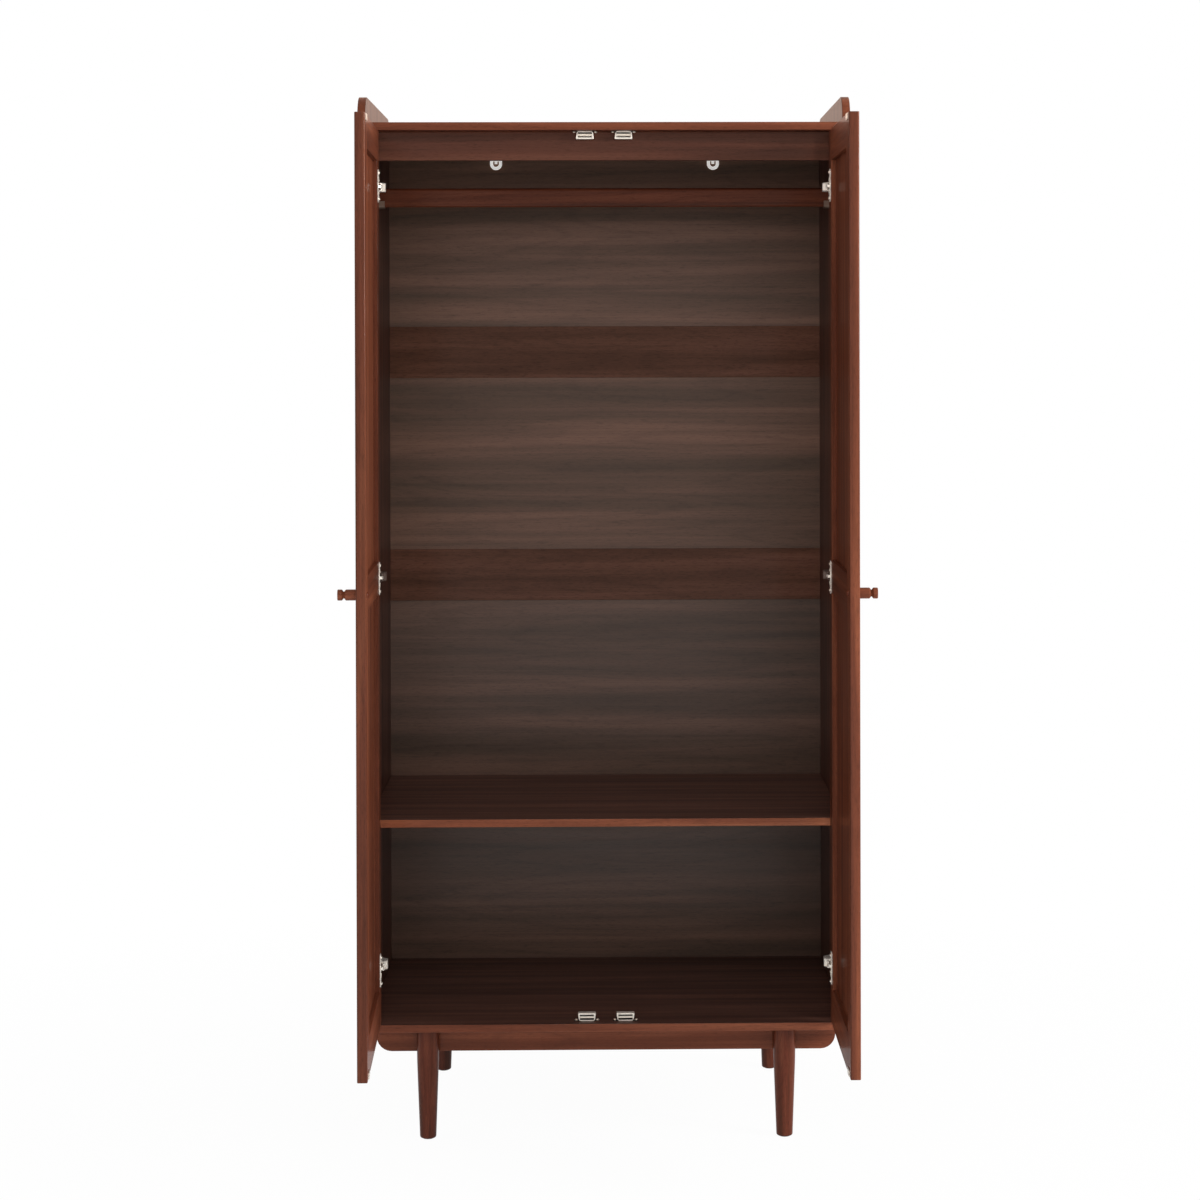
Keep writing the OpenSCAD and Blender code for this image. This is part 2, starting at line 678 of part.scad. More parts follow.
// Side view of the cranked arm, from the pin's eye back over the plate
module arm_outline() {
    translate(eye) circle(eye_r);
    polygon([[eye[0] - eye_r, eye[1]], [arm_side_u, arm_front_v + 1],
        [arm_side_u, arm_knee_v - 4], [arm_base_u, arm_neck_v - 6],
        [arm_base_u, arm_back_v], [arm_low_u, arm_back_v], [arm_low_u, arm_neck_v],
        [arm_top_u, arm_knee_v], [arm_top_u, arm_front_v], [eye[0] + eye_r, eye[1]]]);
}
module arm_back() polygon([
    [eye[0] + 2, arm_front_v], [arm_top_u, arm_front_v], [arm_top_u, arm_knee_v],
    [arm_low_u, arm_neck_v], [arm_low_u, arm_back_v], [arm_low_u - arm_wall, arm_back_v],
    [arm_low_u - arm_wall, arm_neck_v - arm_wall / 2],
    [arm_top_u - arm_wall, arm_knee_v - arm_wall / 2],
    [arm_top_u - arm_wall, arm_front_v + arm_wall], [eye[0] + 2, arm_front_v + arm_wall]]);
module hinge_arm() left_pivot() {
    for (z = [-arm_w / 2, arm_w / 2 - arm_wall]) translate([0, 0, z])
        linear_extrude(arm_wall) arm_outline();
    translate([0, 0, -arm_w / 2]) linear_extrude(arm_w) arm_back();
    for (z = [-arm_w / 2, link_z - 0.2]) translate([eye[0], eye[1], z])
        cylinder(r = hinge_pin_r, h = arm_w / 2 - link_z + 0.2);
    for (v = arm_screw_vs) translate([arm_low_u - cut, v, 0])
        rod_x(arm_screw_d, cut + arm_screw_h);
}
module left_hinge_arms() color("#cfc9bc") in_place() at_left_hinges() hinge_arm();
module right_hinge_arms() color("#cfc9bc") in_place() mirrored() at_left_hinges() hinge_arm();

// The links turn on the arm's pins as much as the door does
module hinge_link(a) left_pivot() for (z = [-link_z - link_t, link_z])
    translate([eye[0], eye[1], z]) rotate([0, 0, link_dir - a]) difference() {
        linear_extrude(link_t) {
            circle(link_r + 0.4);
            translate([0, -link_r]) square([link_l, 2 * link_r]);
            translate([link_l, 0]) circle(link_r);
        }
        translate([0, 0, -cut]) cylinder(r = hinge_pin_r + pin_fit, h = link_t + 2 * cut);
    }
module left_hinge_links() color("#bdb8ac") in_place() at_left_hinges() hinge_link(left_open);
module right_hinge_links() color("#bdb8ac") in_place() mirrored()
    at_left_hinges() hinge_link(right_open);

// ---------- doors, in the door's own frame ----------

mid_rail_z = knob_z - mid_rail_h / 2;
groove_y = door_t - panel_set - panel_t;
module stile_groove(x0) translate([x0, groove_y - wood_fit, door_z0 - cut])
    cube([panel_groove + cut, panel_t + 2 * wood_fit, door_h + 2 * cut]);

module at_cups() for (z = hinge_zs) translate([cup_edge, door_t, z]) children();
module at_cup_screws() at_cups() for (s = [-1, 1])
    translate([flange_off, flange_t, s * cup_screw_gap / 2]) rotate([-90, 0, 0]) children();
module at_strikes() for (z = [door_z0 + strike_edge, door_z1 - strike_edge - strike_h])
    translate([inner_w / 2 - side_gap - catch_x, door_t, z]) children();
module at_strike_screws() at_strikes()
    translate([0, strike_t, strike_h / 2]) rotate([-90, 0, 0]) children();

module hinge_stile() difference() {
    translate([0, 0, door_z0]) upright(stile_w, door_t, door_h, [arris_r, 0, 0, arris_r]);
    stile_groove(stile_w - panel_groove);
    at_cups() translate([0, cut, 0]) rotate([90, 0, 0])
        cylinder(d = cup_d + 2 * wood_fit, h = cup_depth + wood_fit + cut);
    at_cup_screws() screw_hole(door_screw_l);
}
knob_x = door_w - stile_w / 2;
module free_stile() difference() {
    translate([door_w - stile_w, 0, door_z0])
        upright(stile_w, door_t, door_h, [0, arris_r, arris_r, 0]);
    stile_groove(door_w - stile_w - cut);
    at_strike_screws() screw_hole(door_screw_l);
    translate([knob_x, -cut, knob_z]) rod_y(knob_screw_d + 2 * screw_fit, door_t + 2 * cut);
}

// A rail between the stiles, tongued into their grooves
module door_rail(z0, h, above, below) difference() {
    union() {
        translate([stile_w, 0, z0]) cube([door_w - 2 * stile_w, door_t, h]);
        translate([stile_w - panel_groove + wood_fit, groove_y, z0])
            cube([door_w - 2 * stile_w + 2 * (panel_groove - wood_fit), panel_t, h]);
    }
    if (above) rail_groove(z0 + h - panel_groove);
    if (below) rail_groove(z0 - cut);
}
module rail_groove(z) translate([stile_w - panel_groove - cut, groove_y - wood_fit, z])
    cube([door_w - 2 * (stile_w - panel_groove - cut), panel_t + 2 * wood_fit,
        panel_groove + cut]);
module door_top_rail() door_rail(door_z1 - top_rail_h, top_rail_h, false, true);
module door_mid_rail() door_rail(mid_rail_z, mid_rail_h, true, true);
module door_bottom_rail() door_rail(door_z0, foot_rail_h, true, false);

module door_panel(z0, z1) {
    inset = panel_groove - 2 * wood_fit;
    translate([stile_w - inset, groove_y, z0 - inset])
        cube([door_w - 2 * (stile_w - inset), panel_t, z1 - z0 + 2 * inset]);
}
module door_upper_panel() door_panel(mid_rail_z + mid_rail_h, door_z1 - top_rail_h);
module door_lower_panel() door_panel(door_z0 + foot_rail_h, mid_rail_z);

// Turned knob on the outer face, its axis along -Y
module door_knob() {
    r = knob_d / 2;
    body = knob_l - knob_head - 2 * knob_taper;
    translate([knob_x, 0, knob_z]) rotate([90, 0, 0]) difference() {
        rotate_extrude($fn = 64) polygon(concat(
            [[0, 0], [r, 0], [r, body], [knob_neck_d / 2, body + knob_taper]],
            [[r, body + 2 * knob_taper]],
            arc([r - 1, knob_l - 1], 1, 0, 90, 4), [[0, knob_l]]));
        translate([0, 0, -cut])
            cylinder(d = knob_screw_d + 2 * screw_fit, h = knob_screw_in + screw_fit + cut);
    }
}

// Side view of the bridge that reaches from the cup towards the door's edge
module neck_outline() {
    floor_v = face_v - cup_depth + cup_wall / 2;
    polygon([[8, floor_v], [14, floor_v], [14.5, face_v - 1], [11.5, face_v + 4],
        [5, face_v + 6.5], [link_end[0], link_end[1] + neck_end_r],
        [link_end[0], link_end[1] - neck_end_r], [4, face_v + 2.2], [8, face_v - 0.5]]);
    translate(link_end) circle(neck_end_r);
}
module hinge_cup() {
    rotate([90, 0, 0]) difference() {
        translate([0, 0, -flange_t]) union() {
            cylinder(d = cup_d, h = cup_depth + flange_t);
            translate([flange_off - flange_w / 2, -flange_l / 2, 0])
                linear_extrude(flange_t) polygon(soft_rect(flange_w, flange_l, [6, 6, 6, 6]));
        }
        translate([0, 0, -flange_t - cut])
            cylinder(d = cup_d - 2 * cup_wall, h = cup_depth - cup_wall + flange_t + cut);
        translate([-cup_d, -arm_w / 2 - 1.5, -flange_t - cut])
            cube([cup_d - 8, arm_w + 3, flange_t + cut]);
        for (s = [-1, 1]) translate([flange_off, s * cup_screw_gap / 2, -flange_t - cut])
            cylinder(d = screw_d + 2 * screw_fit, h = flange_t + 2 * cut);
    }
    translate([pivot_in - side_gap - cup_edge, -pivot_out - door_t, 0]) {
        translate([0, 0, -neck_t / 2]) linear_extrude(neck_t) neck_outline();
    }
}
module hinge_cups() at_cups() hinge_cup();

module strike_plates() at_strikes() difference() {
    translate([-strike_w / 2, strike_t, 0]) rotate([90, 0, 0])
        linear_extrude(strike_t) polygon(soft_rect(strike_w, strike_h, [2, 2, 2, 2]));
    translate([0, -cut, strike_h / 2]) rod_y(screw_d + 2 * screw_fit, strike_t + 2 * cut);
}

// Flush screws, so that the strike plates can meet the catches
module door_screws() {
    at_cup_screws() wood_screw(door_screw_l);
    at_strike_screws() translate([0, 0, -door_screw_l]) cylinder(d = screw_d, h = door_screw_l);
    translate([knob_x, -knob_screw_in, knob_z])
        rod_y(knob_screw_d, knob_screw_in + door_t + cut / 10);
    translate([knob_x, door_t, knob_z]) rod_y(2 * knob_screw_d, knob_screw_d / 2);
}

wood = "#6b3b2c";
metal = "#d8d2c6";
module left_door_hinge_stile() color(wood) on_left_door() hinge_stile();
module left_door_free_stile() color(wood) on_left_door() free_stile();
module left_door_top_rail() color(wood) on_left_door() door_top_rail();
module left_door_mid_rail() color(wood) on_left_door() door_mid_rail();
module left_door_bottom_rail() color(wood) on_left_door() door_bottom_rail();
module left_door_upper_panel() color(wood) on_left_door() door_upper_panel();
module left_door_lower_panel() color(wood) on_left_door() door_lower_panel();
module left_knob() color(wood) on_left_door() door_knob();
module left_hinge_cups() color(metal) on_left_door() hinge_cups();
module left_strike_plates() color(metal) on_left_door() strike_plates();
module left_door_screws() color(metal) on_left_door() door_screws();
module right_door_hinge_stile() color(wood) on_right_door() hinge_stile();
module right_door_free_stile() color(wood) on_right_door() free_stile();
module right_door_top_rail() color(wood) on_right_door() door_top_rail();
module right_door_mid_rail() color(wood) on_right_door() door_mid_rail();
module right_door_bottom_rail() color(wood) on_right_door() door_bottom_rail();
module right_door_upper_panel() color(wood) on_right_door() door_upper_panel();
module right_door_lower_panel() color(wood) on_right_door() door_lower_panel();
module right_knob() color(wood) on_right_door() door_knob();
module right_hinge_cups() color(metal) on_right_door() hinge_cups();
module right_strike_plates() color(metal) on_right_door() strike_plates();
module right_door_screws() color(metal) on_right_door() door_screws();

left_side_panel();
right_side_panel();
top_panel();
bottom_panel();
shelf();
front_top_rail();
back_top_rail();
back_upper_rail();
back_lower_rail();
back_upper_panel();
back_middle_panel();
back_lower_panel();
hanging_rail();
rail_cradles();
front_apron();
rear_apron();
front_left_leg();
front_right_leg();
rear_left_leg();
rear_right_leg();
leg_bolts();
leg_inserts();
leg_glides();
catch_bodies();
catch_pole_plates();
catch_magnets();
wall_restraints();
wood_screws();
shelf_pins();
cam_locks();
cam_bolts();
dowels();
left_hinge_plates();
right_hinge_plates();
left_hinge_arms();
right_hinge_arms();
left_hinge_links();
right_hinge_links();
left_door_hinge_stile();
left_door_free_stile();
left_door_top_rail();
left_door_mid_rail();
left_door_bottom_rail();
left_door_upper_panel();
left_door_lower_panel();
left_knob();
left_hinge_cups();
left_strike_plates();
left_door_screws();
right_door_hinge_stile();
right_door_free_stile();
right_door_top_rail();
right_door_mid_rail();
right_door_bottom_rail();
right_door_upper_panel();
right_door_lower_panel();
right_knob();
right_hinge_cups();
right_strike_plates();
right_door_screws();
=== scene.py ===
# %% [markdown]
# # A walnut wardrobe with its doors open
#
# A tall wardrobe stands on four turned legs. Its doors are frames with thin panels,
# and both stand open, so what shows is mostly the inside: a hanging rail, one shelf,
# the back with its rails, and small nickel-plated fittings.
#
# The solid parts come ready made from the CAD model, in metres, each in its place.
# This lesson dresses them. Every board is drawn again with soft edges, because a
# lacquered edge catches a thin line of light, and that line is what makes wood look
# like joinery and not like a block.

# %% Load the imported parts
import json
import math

import bpy
import numpy as np
from mathutils import Matrix, Vector


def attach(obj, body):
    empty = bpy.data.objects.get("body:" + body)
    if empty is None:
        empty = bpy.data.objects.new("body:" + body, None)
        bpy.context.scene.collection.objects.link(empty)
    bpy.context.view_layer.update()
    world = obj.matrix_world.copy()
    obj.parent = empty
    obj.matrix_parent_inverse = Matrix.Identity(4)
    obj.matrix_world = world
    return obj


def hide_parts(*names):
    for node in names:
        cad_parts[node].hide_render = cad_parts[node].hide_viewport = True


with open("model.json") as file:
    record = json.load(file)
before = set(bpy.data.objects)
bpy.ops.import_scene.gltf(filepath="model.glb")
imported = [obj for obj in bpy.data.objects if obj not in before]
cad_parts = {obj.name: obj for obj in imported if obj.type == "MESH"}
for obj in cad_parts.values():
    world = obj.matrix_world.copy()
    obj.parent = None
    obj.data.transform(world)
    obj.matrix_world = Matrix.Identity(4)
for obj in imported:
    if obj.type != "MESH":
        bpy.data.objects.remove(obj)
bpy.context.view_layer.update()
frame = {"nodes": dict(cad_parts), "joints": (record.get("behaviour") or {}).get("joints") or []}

nodes = frame["nodes"]
joints = {j["name"]: j for j in frame["joints"]}

# %% [markdown]
# ## The camera
#
# The cabinet is seen almost straight on, from about five metres, a little above the
# middle of its height. The camera is kept level, as for a building, so that upright
# edges stay parallel, and the lens slides down to take in the feet. Blender's camera
# shift is that sliding lens. Tilting the camera down would be easier, but then the
# sides would lean together.

# %% Camera
SENSOR = 36                         # millimetres, the width of a full frame
FAR_AWAY = 100                      # metres, beyond the end of the floor


def lens_camera(place, yaw, pitch, roll, focal, shift):
    """A camera from its place in metres, three angles in degrees, its focal length in
    millimetres and its lens shift across and up, as shares of the image's width.

    The view direction is (sin yaw cos pitch, cos yaw cos pitch, sin pitch), and the
    camera's right and up are turned about it by the roll.
    """
    yaw, pitch, roll = np.radians([yaw, pitch, roll])
    ahead = Vector((math.sin(yaw) * math.cos(pitch), math.cos(yaw) * math.cos(pitch),
                    math.sin(pitch)))
    level = Vector((math.cos(yaw), -math.sin(yaw), 0))
    above = level.cross(ahead)
    right = math.cos(roll) * level + math.sin(roll) * above
    up = math.cos(roll) * above - math.sin(roll) * level
    data = bpy.data.cameras.new("camera")
    data.sensor_width = SENSOR
    data.lens = focal
    data.shift_x, data.shift_y = shift
    data.clip_end = FAR_AWAY
    camera = bpy.data.objects.new("camera", data)
    bpy.context.scene.collection.objects.link(camera)
    turn = Matrix((right, up, -ahead)).transposed().to_4x4()
    camera.matrix_world = Matrix.Translation(place) @ turn
    return camera


camera = lens_camera(place=(0.00637, -5.3558, 1.4754), yaw=0.958, pitch=-0.389,
                     roll=-0.132, focal=85.3155, shift=(-0.046375, -0.1935))
bpy.context.scene.camera = camera
bpy.context.scene.view_settings.view_transform = "Standard"
print(f"lens {camera.data.lens:.1f} mm")

# %% [markdown]
# ## Soft, white studio light
#
# Furniture is shown at its best in a white room with big soft lamps. The world is that
# room. It gives an even light, and what looks at it directly sees plain white. Gloss
# sees it a little darker behind the camera and brighter beyond the cabinet, which is
# why boards seen at a flat angle turn pale. Light Path tells these rays apart.
#
# A large lamp close to the camera fills the inside of the cabinet. A stronger one on
# the right lights the left door, which faces it, more than the right one. A weak one
# on the left and a small one overhead lift the remaining edges. A single lamp would be
# simpler, but the inside would go black.

# %% A function that adds one node
def add(tree, kind, inputs=None, **settings):
    """Adds a node. settings are its own properties, and inputs gives each socket,
    by name or number, a value or the output that feeds it."""
    node = tree.nodes.new(kind)
    for name, value in settings.items():
        setattr(node, name, value)
    for socket, value in (inputs or {}).items():
        if isinstance(value, bpy.types.NodeSocket):
            tree.links.new(value, node.inputs[socket])
        else:
            node.inputs[socket].default_value = value
    return node


def linear(colour):
    """An sRGB colour such as "#6e4030" as linear RGBA: each channel c becomes
    c / 12.92 when dark, else ((c + 0.055) / 1.055) ** 2.4."""
    c = np.array([int(colour[i:i + 2], 16) for i in (1, 3, 5)]) / 255
    c = np.where(c <= 0.04045, c / 12.92, ((c + 0.055) / 1.055) ** 2.4)
    return (*c.tolist(), 1.0)


# %% The world
ROOM_LIGHT = 0.45                   # what the white room gives to every surface
NEAR_END = 0.90                     # the room behind the camera, seen in gloss
FAR_LEFT, FAR_RIGHT = 1.4, 1.3      # and beyond the cabinet, on either side
LEFT_TO_RIGHT = (-0.05, 0.05)       # X of a direction, from which left becomes right
NEAR_TO_FAR = (-0.35, 0.25)         # and Y, from which the near end becomes the far one
WARM_GLOSS = "#ffe2d2"              # gloss is a little warm, as it is through old lacquer


def who_looks(tree):
    """Two outputs: 1 for rays that come straight from the camera, and 1 for rays that
    come by way of gloss or glass."""
    path = add(tree, "ShaderNodeLightPath")
    gloss = add(tree, "ShaderNodeMath", {0: path.outputs["Is Glossy Ray"],
                1: path.outputs["Is Transmission Ray"]}, operation="MAXIMUM")
    return path.outputs["Is Camera Ray"], gloss.outputs[0]


world = bpy.data.worlds.new("white studio")
bpy.context.scene.world = world
world.use_nodes = True
tree = world.node_tree
by_camera, by_gloss = who_looks(tree)
towards = add(tree, "ShaderNodeSeparateXYZ",
              {0: add(tree, "ShaderNodeTexCoord").outputs["Generated"]})
far_end = add(tree, "ShaderNodeMapRange", {"Value": towards.outputs["X"],
              "From Min": LEFT_TO_RIGHT[0], "From Max": LEFT_TO_RIGHT[1],
              "To Min": FAR_LEFT, "To Max": FAR_RIGHT})
mirrored_room = add(tree, "ShaderNodeMapRange", {"Value": towards.outputs["Y"],
                    "From Min": NEAR_TO_FAR[0], "From Max": NEAR_TO_FAR[1],
                    "To Min": NEAR_END, "To Max": far_end.outputs[0]})
unseen = add(tree, "ShaderNodeMix", {0: by_gloss, 2: ROOM_LIGHT,
             3: mirrored_room.outputs[0]}, data_type="FLOAT")
strength = add(tree, "ShaderNodeMix", {0: by_camera, 2: unseen.outputs[0], 3: 1.0},
               data_type="FLOAT")
room_colour = add(tree, "ShaderNodeMix", {0: by_gloss, 6: (1, 1, 1, 1),
                  7: linear(WARM_GLOSS)}, data_type="RGBA")
tree.links.new(room_colour.outputs[2], tree.nodes["Background"].inputs["Color"])
tree.links.new(strength.outputs[0], tree.nodes["Background"].inputs["Strength"])


# %% The lamps
def soft_lamp(name, place, target, size, watts, mirrored=True):
    """A square area lamp at place, turned towards target. All in metres. One that is
    not mirrored gives light but no gleam, as behind a very wide diffuser."""
    data = bpy.data.lights.new(name, "AREA")
    data.size = size
    data.energy = watts
    lamp = bpy.data.objects.new(name, data)
    bpy.context.scene.collection.objects.link(lamp)
    lamp.location = place
    lamp.visible_glossy = mirrored
    ahead = Vector(target) - Vector(place)
    lamp.rotation_euler = ahead.to_track_quat("-Z", "Y").to_euler()


soft_lamp("key softbox", (0.2, -4.8, 1.5), (0, 0, 1.0), size=2.4, watts=52, mirrored=False)
soft_lamp("right softbox", (4.0, -2.0, 2.2), (0, -0.3, 1.2), size=1.6, watts=200)
soft_lamp("left softbox", (-4.0, -2.0, 1.6), (0, -0.3, 1.0), size=1.6, watts=22)
soft_lamp("overhead box", (0, -3.2, 3.2), (0, 0, 1.0), size=0.8, watts=14)

# %% [markdown]
# ## The floor
#
# The floor is pale and plain. To the camera it is nearly white, like the room, and a
# small share of ordinary matt surface in it keeps a faint shadow under the legs.

# %% Floor
FLOOR = 24.0                        # metres, so that its edge is lost in the white
FLOOR_SHADE = 0.03                  # share of matt surface that takes the shadow
SHADE_FROM, SHADE_TO = 0.5, 2.2     # metres from the middle, between which it fades out

floor_mesh = bpy.data.meshes.new("floor")
half = FLOOR / 2
corners = [(-half, -half, 0), (half, -half, 0), (half, half, 0), (-half, half, 0)]
floor_mesh.from_pydata(corners, [], [(0, 1, 2, 3)])
floor = bpy.data.objects.new("floor", floor_mesh)
bpy.context.scene.collection.objects.link(floor)

paint = bpy.data.materials.new("white painted floor")
paint.use_nodes = True
tree = paint.node_tree
tree.nodes.clear()
by_camera, by_gloss = who_looks(tree)
matt = add(tree, "ShaderNodeBsdfDiffuse", {"Color": linear("#e9e9e7")})
glow = add(tree, "ShaderNodeEmission", {"Color": (1, 1, 1, 1), "Strength": 1.0})
away = add(tree, "ShaderNodeVectorMath",
           {0: add(tree, "ShaderNodeTexCoord").outputs["Object"]}, operation="LENGTH")
glowing = add(tree, "ShaderNodeMapRange", {"Value": away.outputs["Value"],
              "From Min": SHADE_FROM, "From Max": SHADE_TO, "To Min": 1 - FLOOR_SHADE,
              "To Max": 1.0})
mostly_glow = add(tree, "ShaderNodeMixShader", {0: glowing.outputs[0], 1: matt.outputs[0],
                  2: glow.outputs[0]})
seen = add(tree, "ShaderNodeMath", {0: by_camera, 1: by_gloss}, operation="MAXIMUM")
choice = add(tree, "ShaderNodeMixShader", {0: seen.outputs[0], 1: matt.outputs[0],
             2: mostly_glow.outputs[0]})
add(tree, "ShaderNodeOutputMaterial", {"Surface": choice.outputs[0]})
floor.data.materials.append(paint)

# %% [markdown]
# ## Walnut veneer under satin lacquer
#
# The boards are covered with walnut veneer, stained red-brown and sprayed with a
# satin lacquer. Four things make it read as walnut. Wide, soft figure runs along the
# board, about 20 mm across and 700 mm long. Growth rings draw long loops over it. Fine
# streaks lie 2 mm apart. And short dark pores, which are really 0.3 mm wide, are drawn
# 1 mm wide here, or they would vanish. The leaves for the back add small dark flecks.
#
# The lacquer is a second, smooth layer over the wood: Principled's coat. It is what
# turns almost white where a board is seen at a flat angle.
#
# An image would give a better grain up close, but it repeats and it stretches. Noise
# in three dimensions is solid, as wood is, so it even runs on round an edge. Each
# board stores where it was cut from the wood, in an attribute called grain: across,
# through and along the board, in metres. So one material serves every board.

# %% Wood
STREAK = (0.0018, 0.22)             # a streak's width and length in metres
PORE = (0.0010, 0.012)
FLECK = (0.006, 0.035)
RING_FIELD = (2.6, 0.9)             # the rings' noise, in widths and lengths of the figure
RINGS = 12.0                        # growth rings between a hollow and a crest of it
MOST_NOISE = (0.32, 0.68)           # between these lies most of a noise
PORE_TAIL = (0.33, 0.44)            # a pore is where noise is below the first of these,
FLECK_TAIL = (0.27, 0.40)           # and it has faded out at the second
RING_TAIL = (-1.0, -0.3)            # the same for a ring, in a wave from -1 to 1
STREAK_SHADES = (0.90, 1.09)        # the darkest and the lightest streak
COAT_ROUGHNESS = 0.12


def wood(name, dark, middle, light, roughness=0.45, coat=0.2, figure=0.022, length=0.70,
         ring_depth=0.12, pores=0.5, fleck=0.0, sheen=0.05):
    """A lacquered wood. figure and length are the size of its bands in metres, and
    ring_depth, pores and fleck are how much darker rings, pores and flecks are. coat
    is the smooth lacquer's weight, and sheen the gloss of the sanded wood under it.

    The colour is a ramp over stretched noise. It is multiplied by four shades, each a
    pattern whose tail is dark: the rings, a sine of a second stretched noise, whose
    level lines close into long loops as they do in veneer; the streaks, a finer noise;
    the pores, the finest; and the flecks beside a knot, a coarser one.
    """
    material = bpy.data.materials.new(name)
    material.use_nodes = True
    tree = material.node_tree
    grain = add(tree, "ShaderNodeAttribute", attribute_name="grain").outputs["Vector"]

    def stretched(across, along, detail, distortion=0.0):
        """Noise whose features are across x across x along metres."""
        sized = add(tree, "ShaderNodeMapping",
                    {"Vector": grain, "Scale": (1 / across, 1 / across, 1 / along)})
        return add(tree, "ShaderNodeTexNoise",
                   {"Vector": sized.outputs[0], "Scale": 1.0, "Detail": detail,
                    "Roughness": 0.5, "Distortion": distortion}).outputs[0]

    ramp = add(tree, "ShaderNodeValToRGB", {0: stretched(figure, length, 2.0, 0.3)})
    first, last = ramp.color_ramp.elements
    first.position, last.position = MOST_NOISE
    first.color, last.color = linear(dark), linear(light)
    ramp.color_ramp.elements.new(0.5).color = linear(middle)

    field = stretched(RING_FIELD[0] * figure, RING_FIELD[1] * length, 1.5, 0.2)
    phase = add(tree, "ShaderNodeMath", {0: field, 1: RINGS * 2 * math.pi},
                operation="MULTIPLY")
    wave = add(tree, "ShaderNodeMath", {0: phase.outputs[0]}, operation="SINE")
    fine = stretched(*STREAK, 2.0)
    shades = [add(tree, "ShaderNodeMapRange", {"Value": pattern, "From Min": tail[0],
                  "From Max": tail[1], "To Min": darkest, "To Max": lightest}).outputs[0]
              for pattern, tail, darkest, lightest in (
                  (wave.outputs[0], RING_TAIL, 1.0 - ring_depth, 1.0),
                  (fine, MOST_NOISE, *STREAK_SHADES),
                  (stretched(*PORE, 1.0), PORE_TAIL, 1.0 - 0.5 * pores, 1.0),
                  (stretched(*FLECK, 2.0, 0.6), FLECK_TAIL, 1.0 - fleck, 1.0))]
    product = shades[0]
    for shade in shades[1:]:
        product = add(tree, "ShaderNodeMath", {0: product, 1: shade},
                      operation="MULTIPLY").outputs[0]
    colour = add(tree, "ShaderNodeMix", {0: 1.0, 6: ramp.outputs[0], 7: product},
                 data_type="RGBA", blend_type="MULTIPLY")

    pits = add(tree, "ShaderNodeBump", {"Height": shades[2], "Strength": 0.2,
               "Distance": 0.0001})
    dull = add(tree, "ShaderNodeMapRange", {"Value": fine, "From Min": 0.3, "From Max": 0.7,
               "To Min": roughness - 0.04, "To Max": roughness + 0.05})
    shader = tree.nodes["Principled BSDF"]
    tree.links.new(colour.outputs[2], shader.inputs["Base Color"])
    tree.links.new(dull.outputs[0], shader.inputs["Roughness"])
    tree.links.new(pits.outputs[0], shader.inputs["Normal"])
    shader.inputs["IOR"].default_value = 1.45
    shader.inputs["Specular IOR Level"].default_value = sheen
    shader.inputs["Coat Weight"].default_value = coat
    shader.inputs["Coat Roughness"].default_value = COAT_ROUGHNESS
    return material


# red-brown and satin: the colour of the whole cabinet
walnut_veneer = wood("lacquered walnut veneer", "#562d1f", "#6a3826", "#804831")
# a shade lighter: painted light on the faces that look forward, so that every front edge draws a
# line round its board, and on the left door's upper panel; the aprons and knobs are of it too
painted_light_veneer = wood("walnut edge banding", "#693724", "#78412c", "#8a4f37")
# the lightest: painted light on the shelf's front edge, a thin bright line across the dark
# inside
painted_light_shelf_edge = wood("lighter walnut edge banding", "#7d4530", "#8f5238", "#a3664a")
# a darker one: painted shade on the left door's front edge, which lies in the half light
painted_shade_edge = wood("darker walnut edge banding", "#4b271a", "#5c3021", "#6e3e2a")
# browner, duller and darker: painted shade on what faces inwards, so that it falls back
painted_shade_veneer = wood("walnut veneer of the inside", "#523730", "#624339", "#734f43")
# one dark, smooth leaf, a calm ground for the bright catches; its darkness is partly painted
# shade from the top's overhang
front_veneer = wood("lacquered smooth walnut veneer", "#4a2d23", "#583428", "#663f31",
                    length=1.1, ring_depth=0.08)
# dark and flecked: the rails stand out from the greyer panels of the back
rail_veneer = wood("lacquered dark walnut veneer", "#563729", "#624031", "#70493a",
                   figure=0.030, length=0.60, ring_depth=0.10, pores=0.7, fleck=0.12)
# solid wood has a finer, shorter figure, which runs down the turned legs
walnut_solid = wood("lacquered solid walnut", "#4e2819", "#5c2c1d", "#6a3826",
                    figure=0.012, length=0.25)
# broad bands under a wide, soft sheen: it lifts the middle of the back with a grey
# shimmer of the room, and leaves the sides and what lies low behind a shelf in shade
ON_THE_BACK = {"roughness": 0.36, "coat": 0.05, "figure": 0.040, "length": 1.1,
               "fleck": 0.2, "sheen": 0.5}
back_veneer = wood("satin walnut back board", "#4c3728", "#5f4333", "#755240",
                   **ON_THE_BACK)
# the same, darker and greyer: painted shade for the lowest panel, in the dim light under the
# shelf
back_veneer_painted_shade = wood("greyer walnut back board", "#46352a", "#564034", "#684c3e",
                        **ON_THE_BACK)
woods = [m.name for m in bpy.data.materials if "walnut" in m.name]
print("woods:", *woods, sep="\n  ")

# %% [markdown]
# ## One function for every board
#
# A board is an outline carried through its thickness. Its edges are eased: near each
# face the outline draws in along a quarter circle. That gives the rounded arris in
# one go, and works for a plain rail as for a side panel with big round corners.
# A Bevel modifier on a cube could do the first, but the rounded outlines would need
# more work, and the CAD meshes are triangles, which bevel badly.

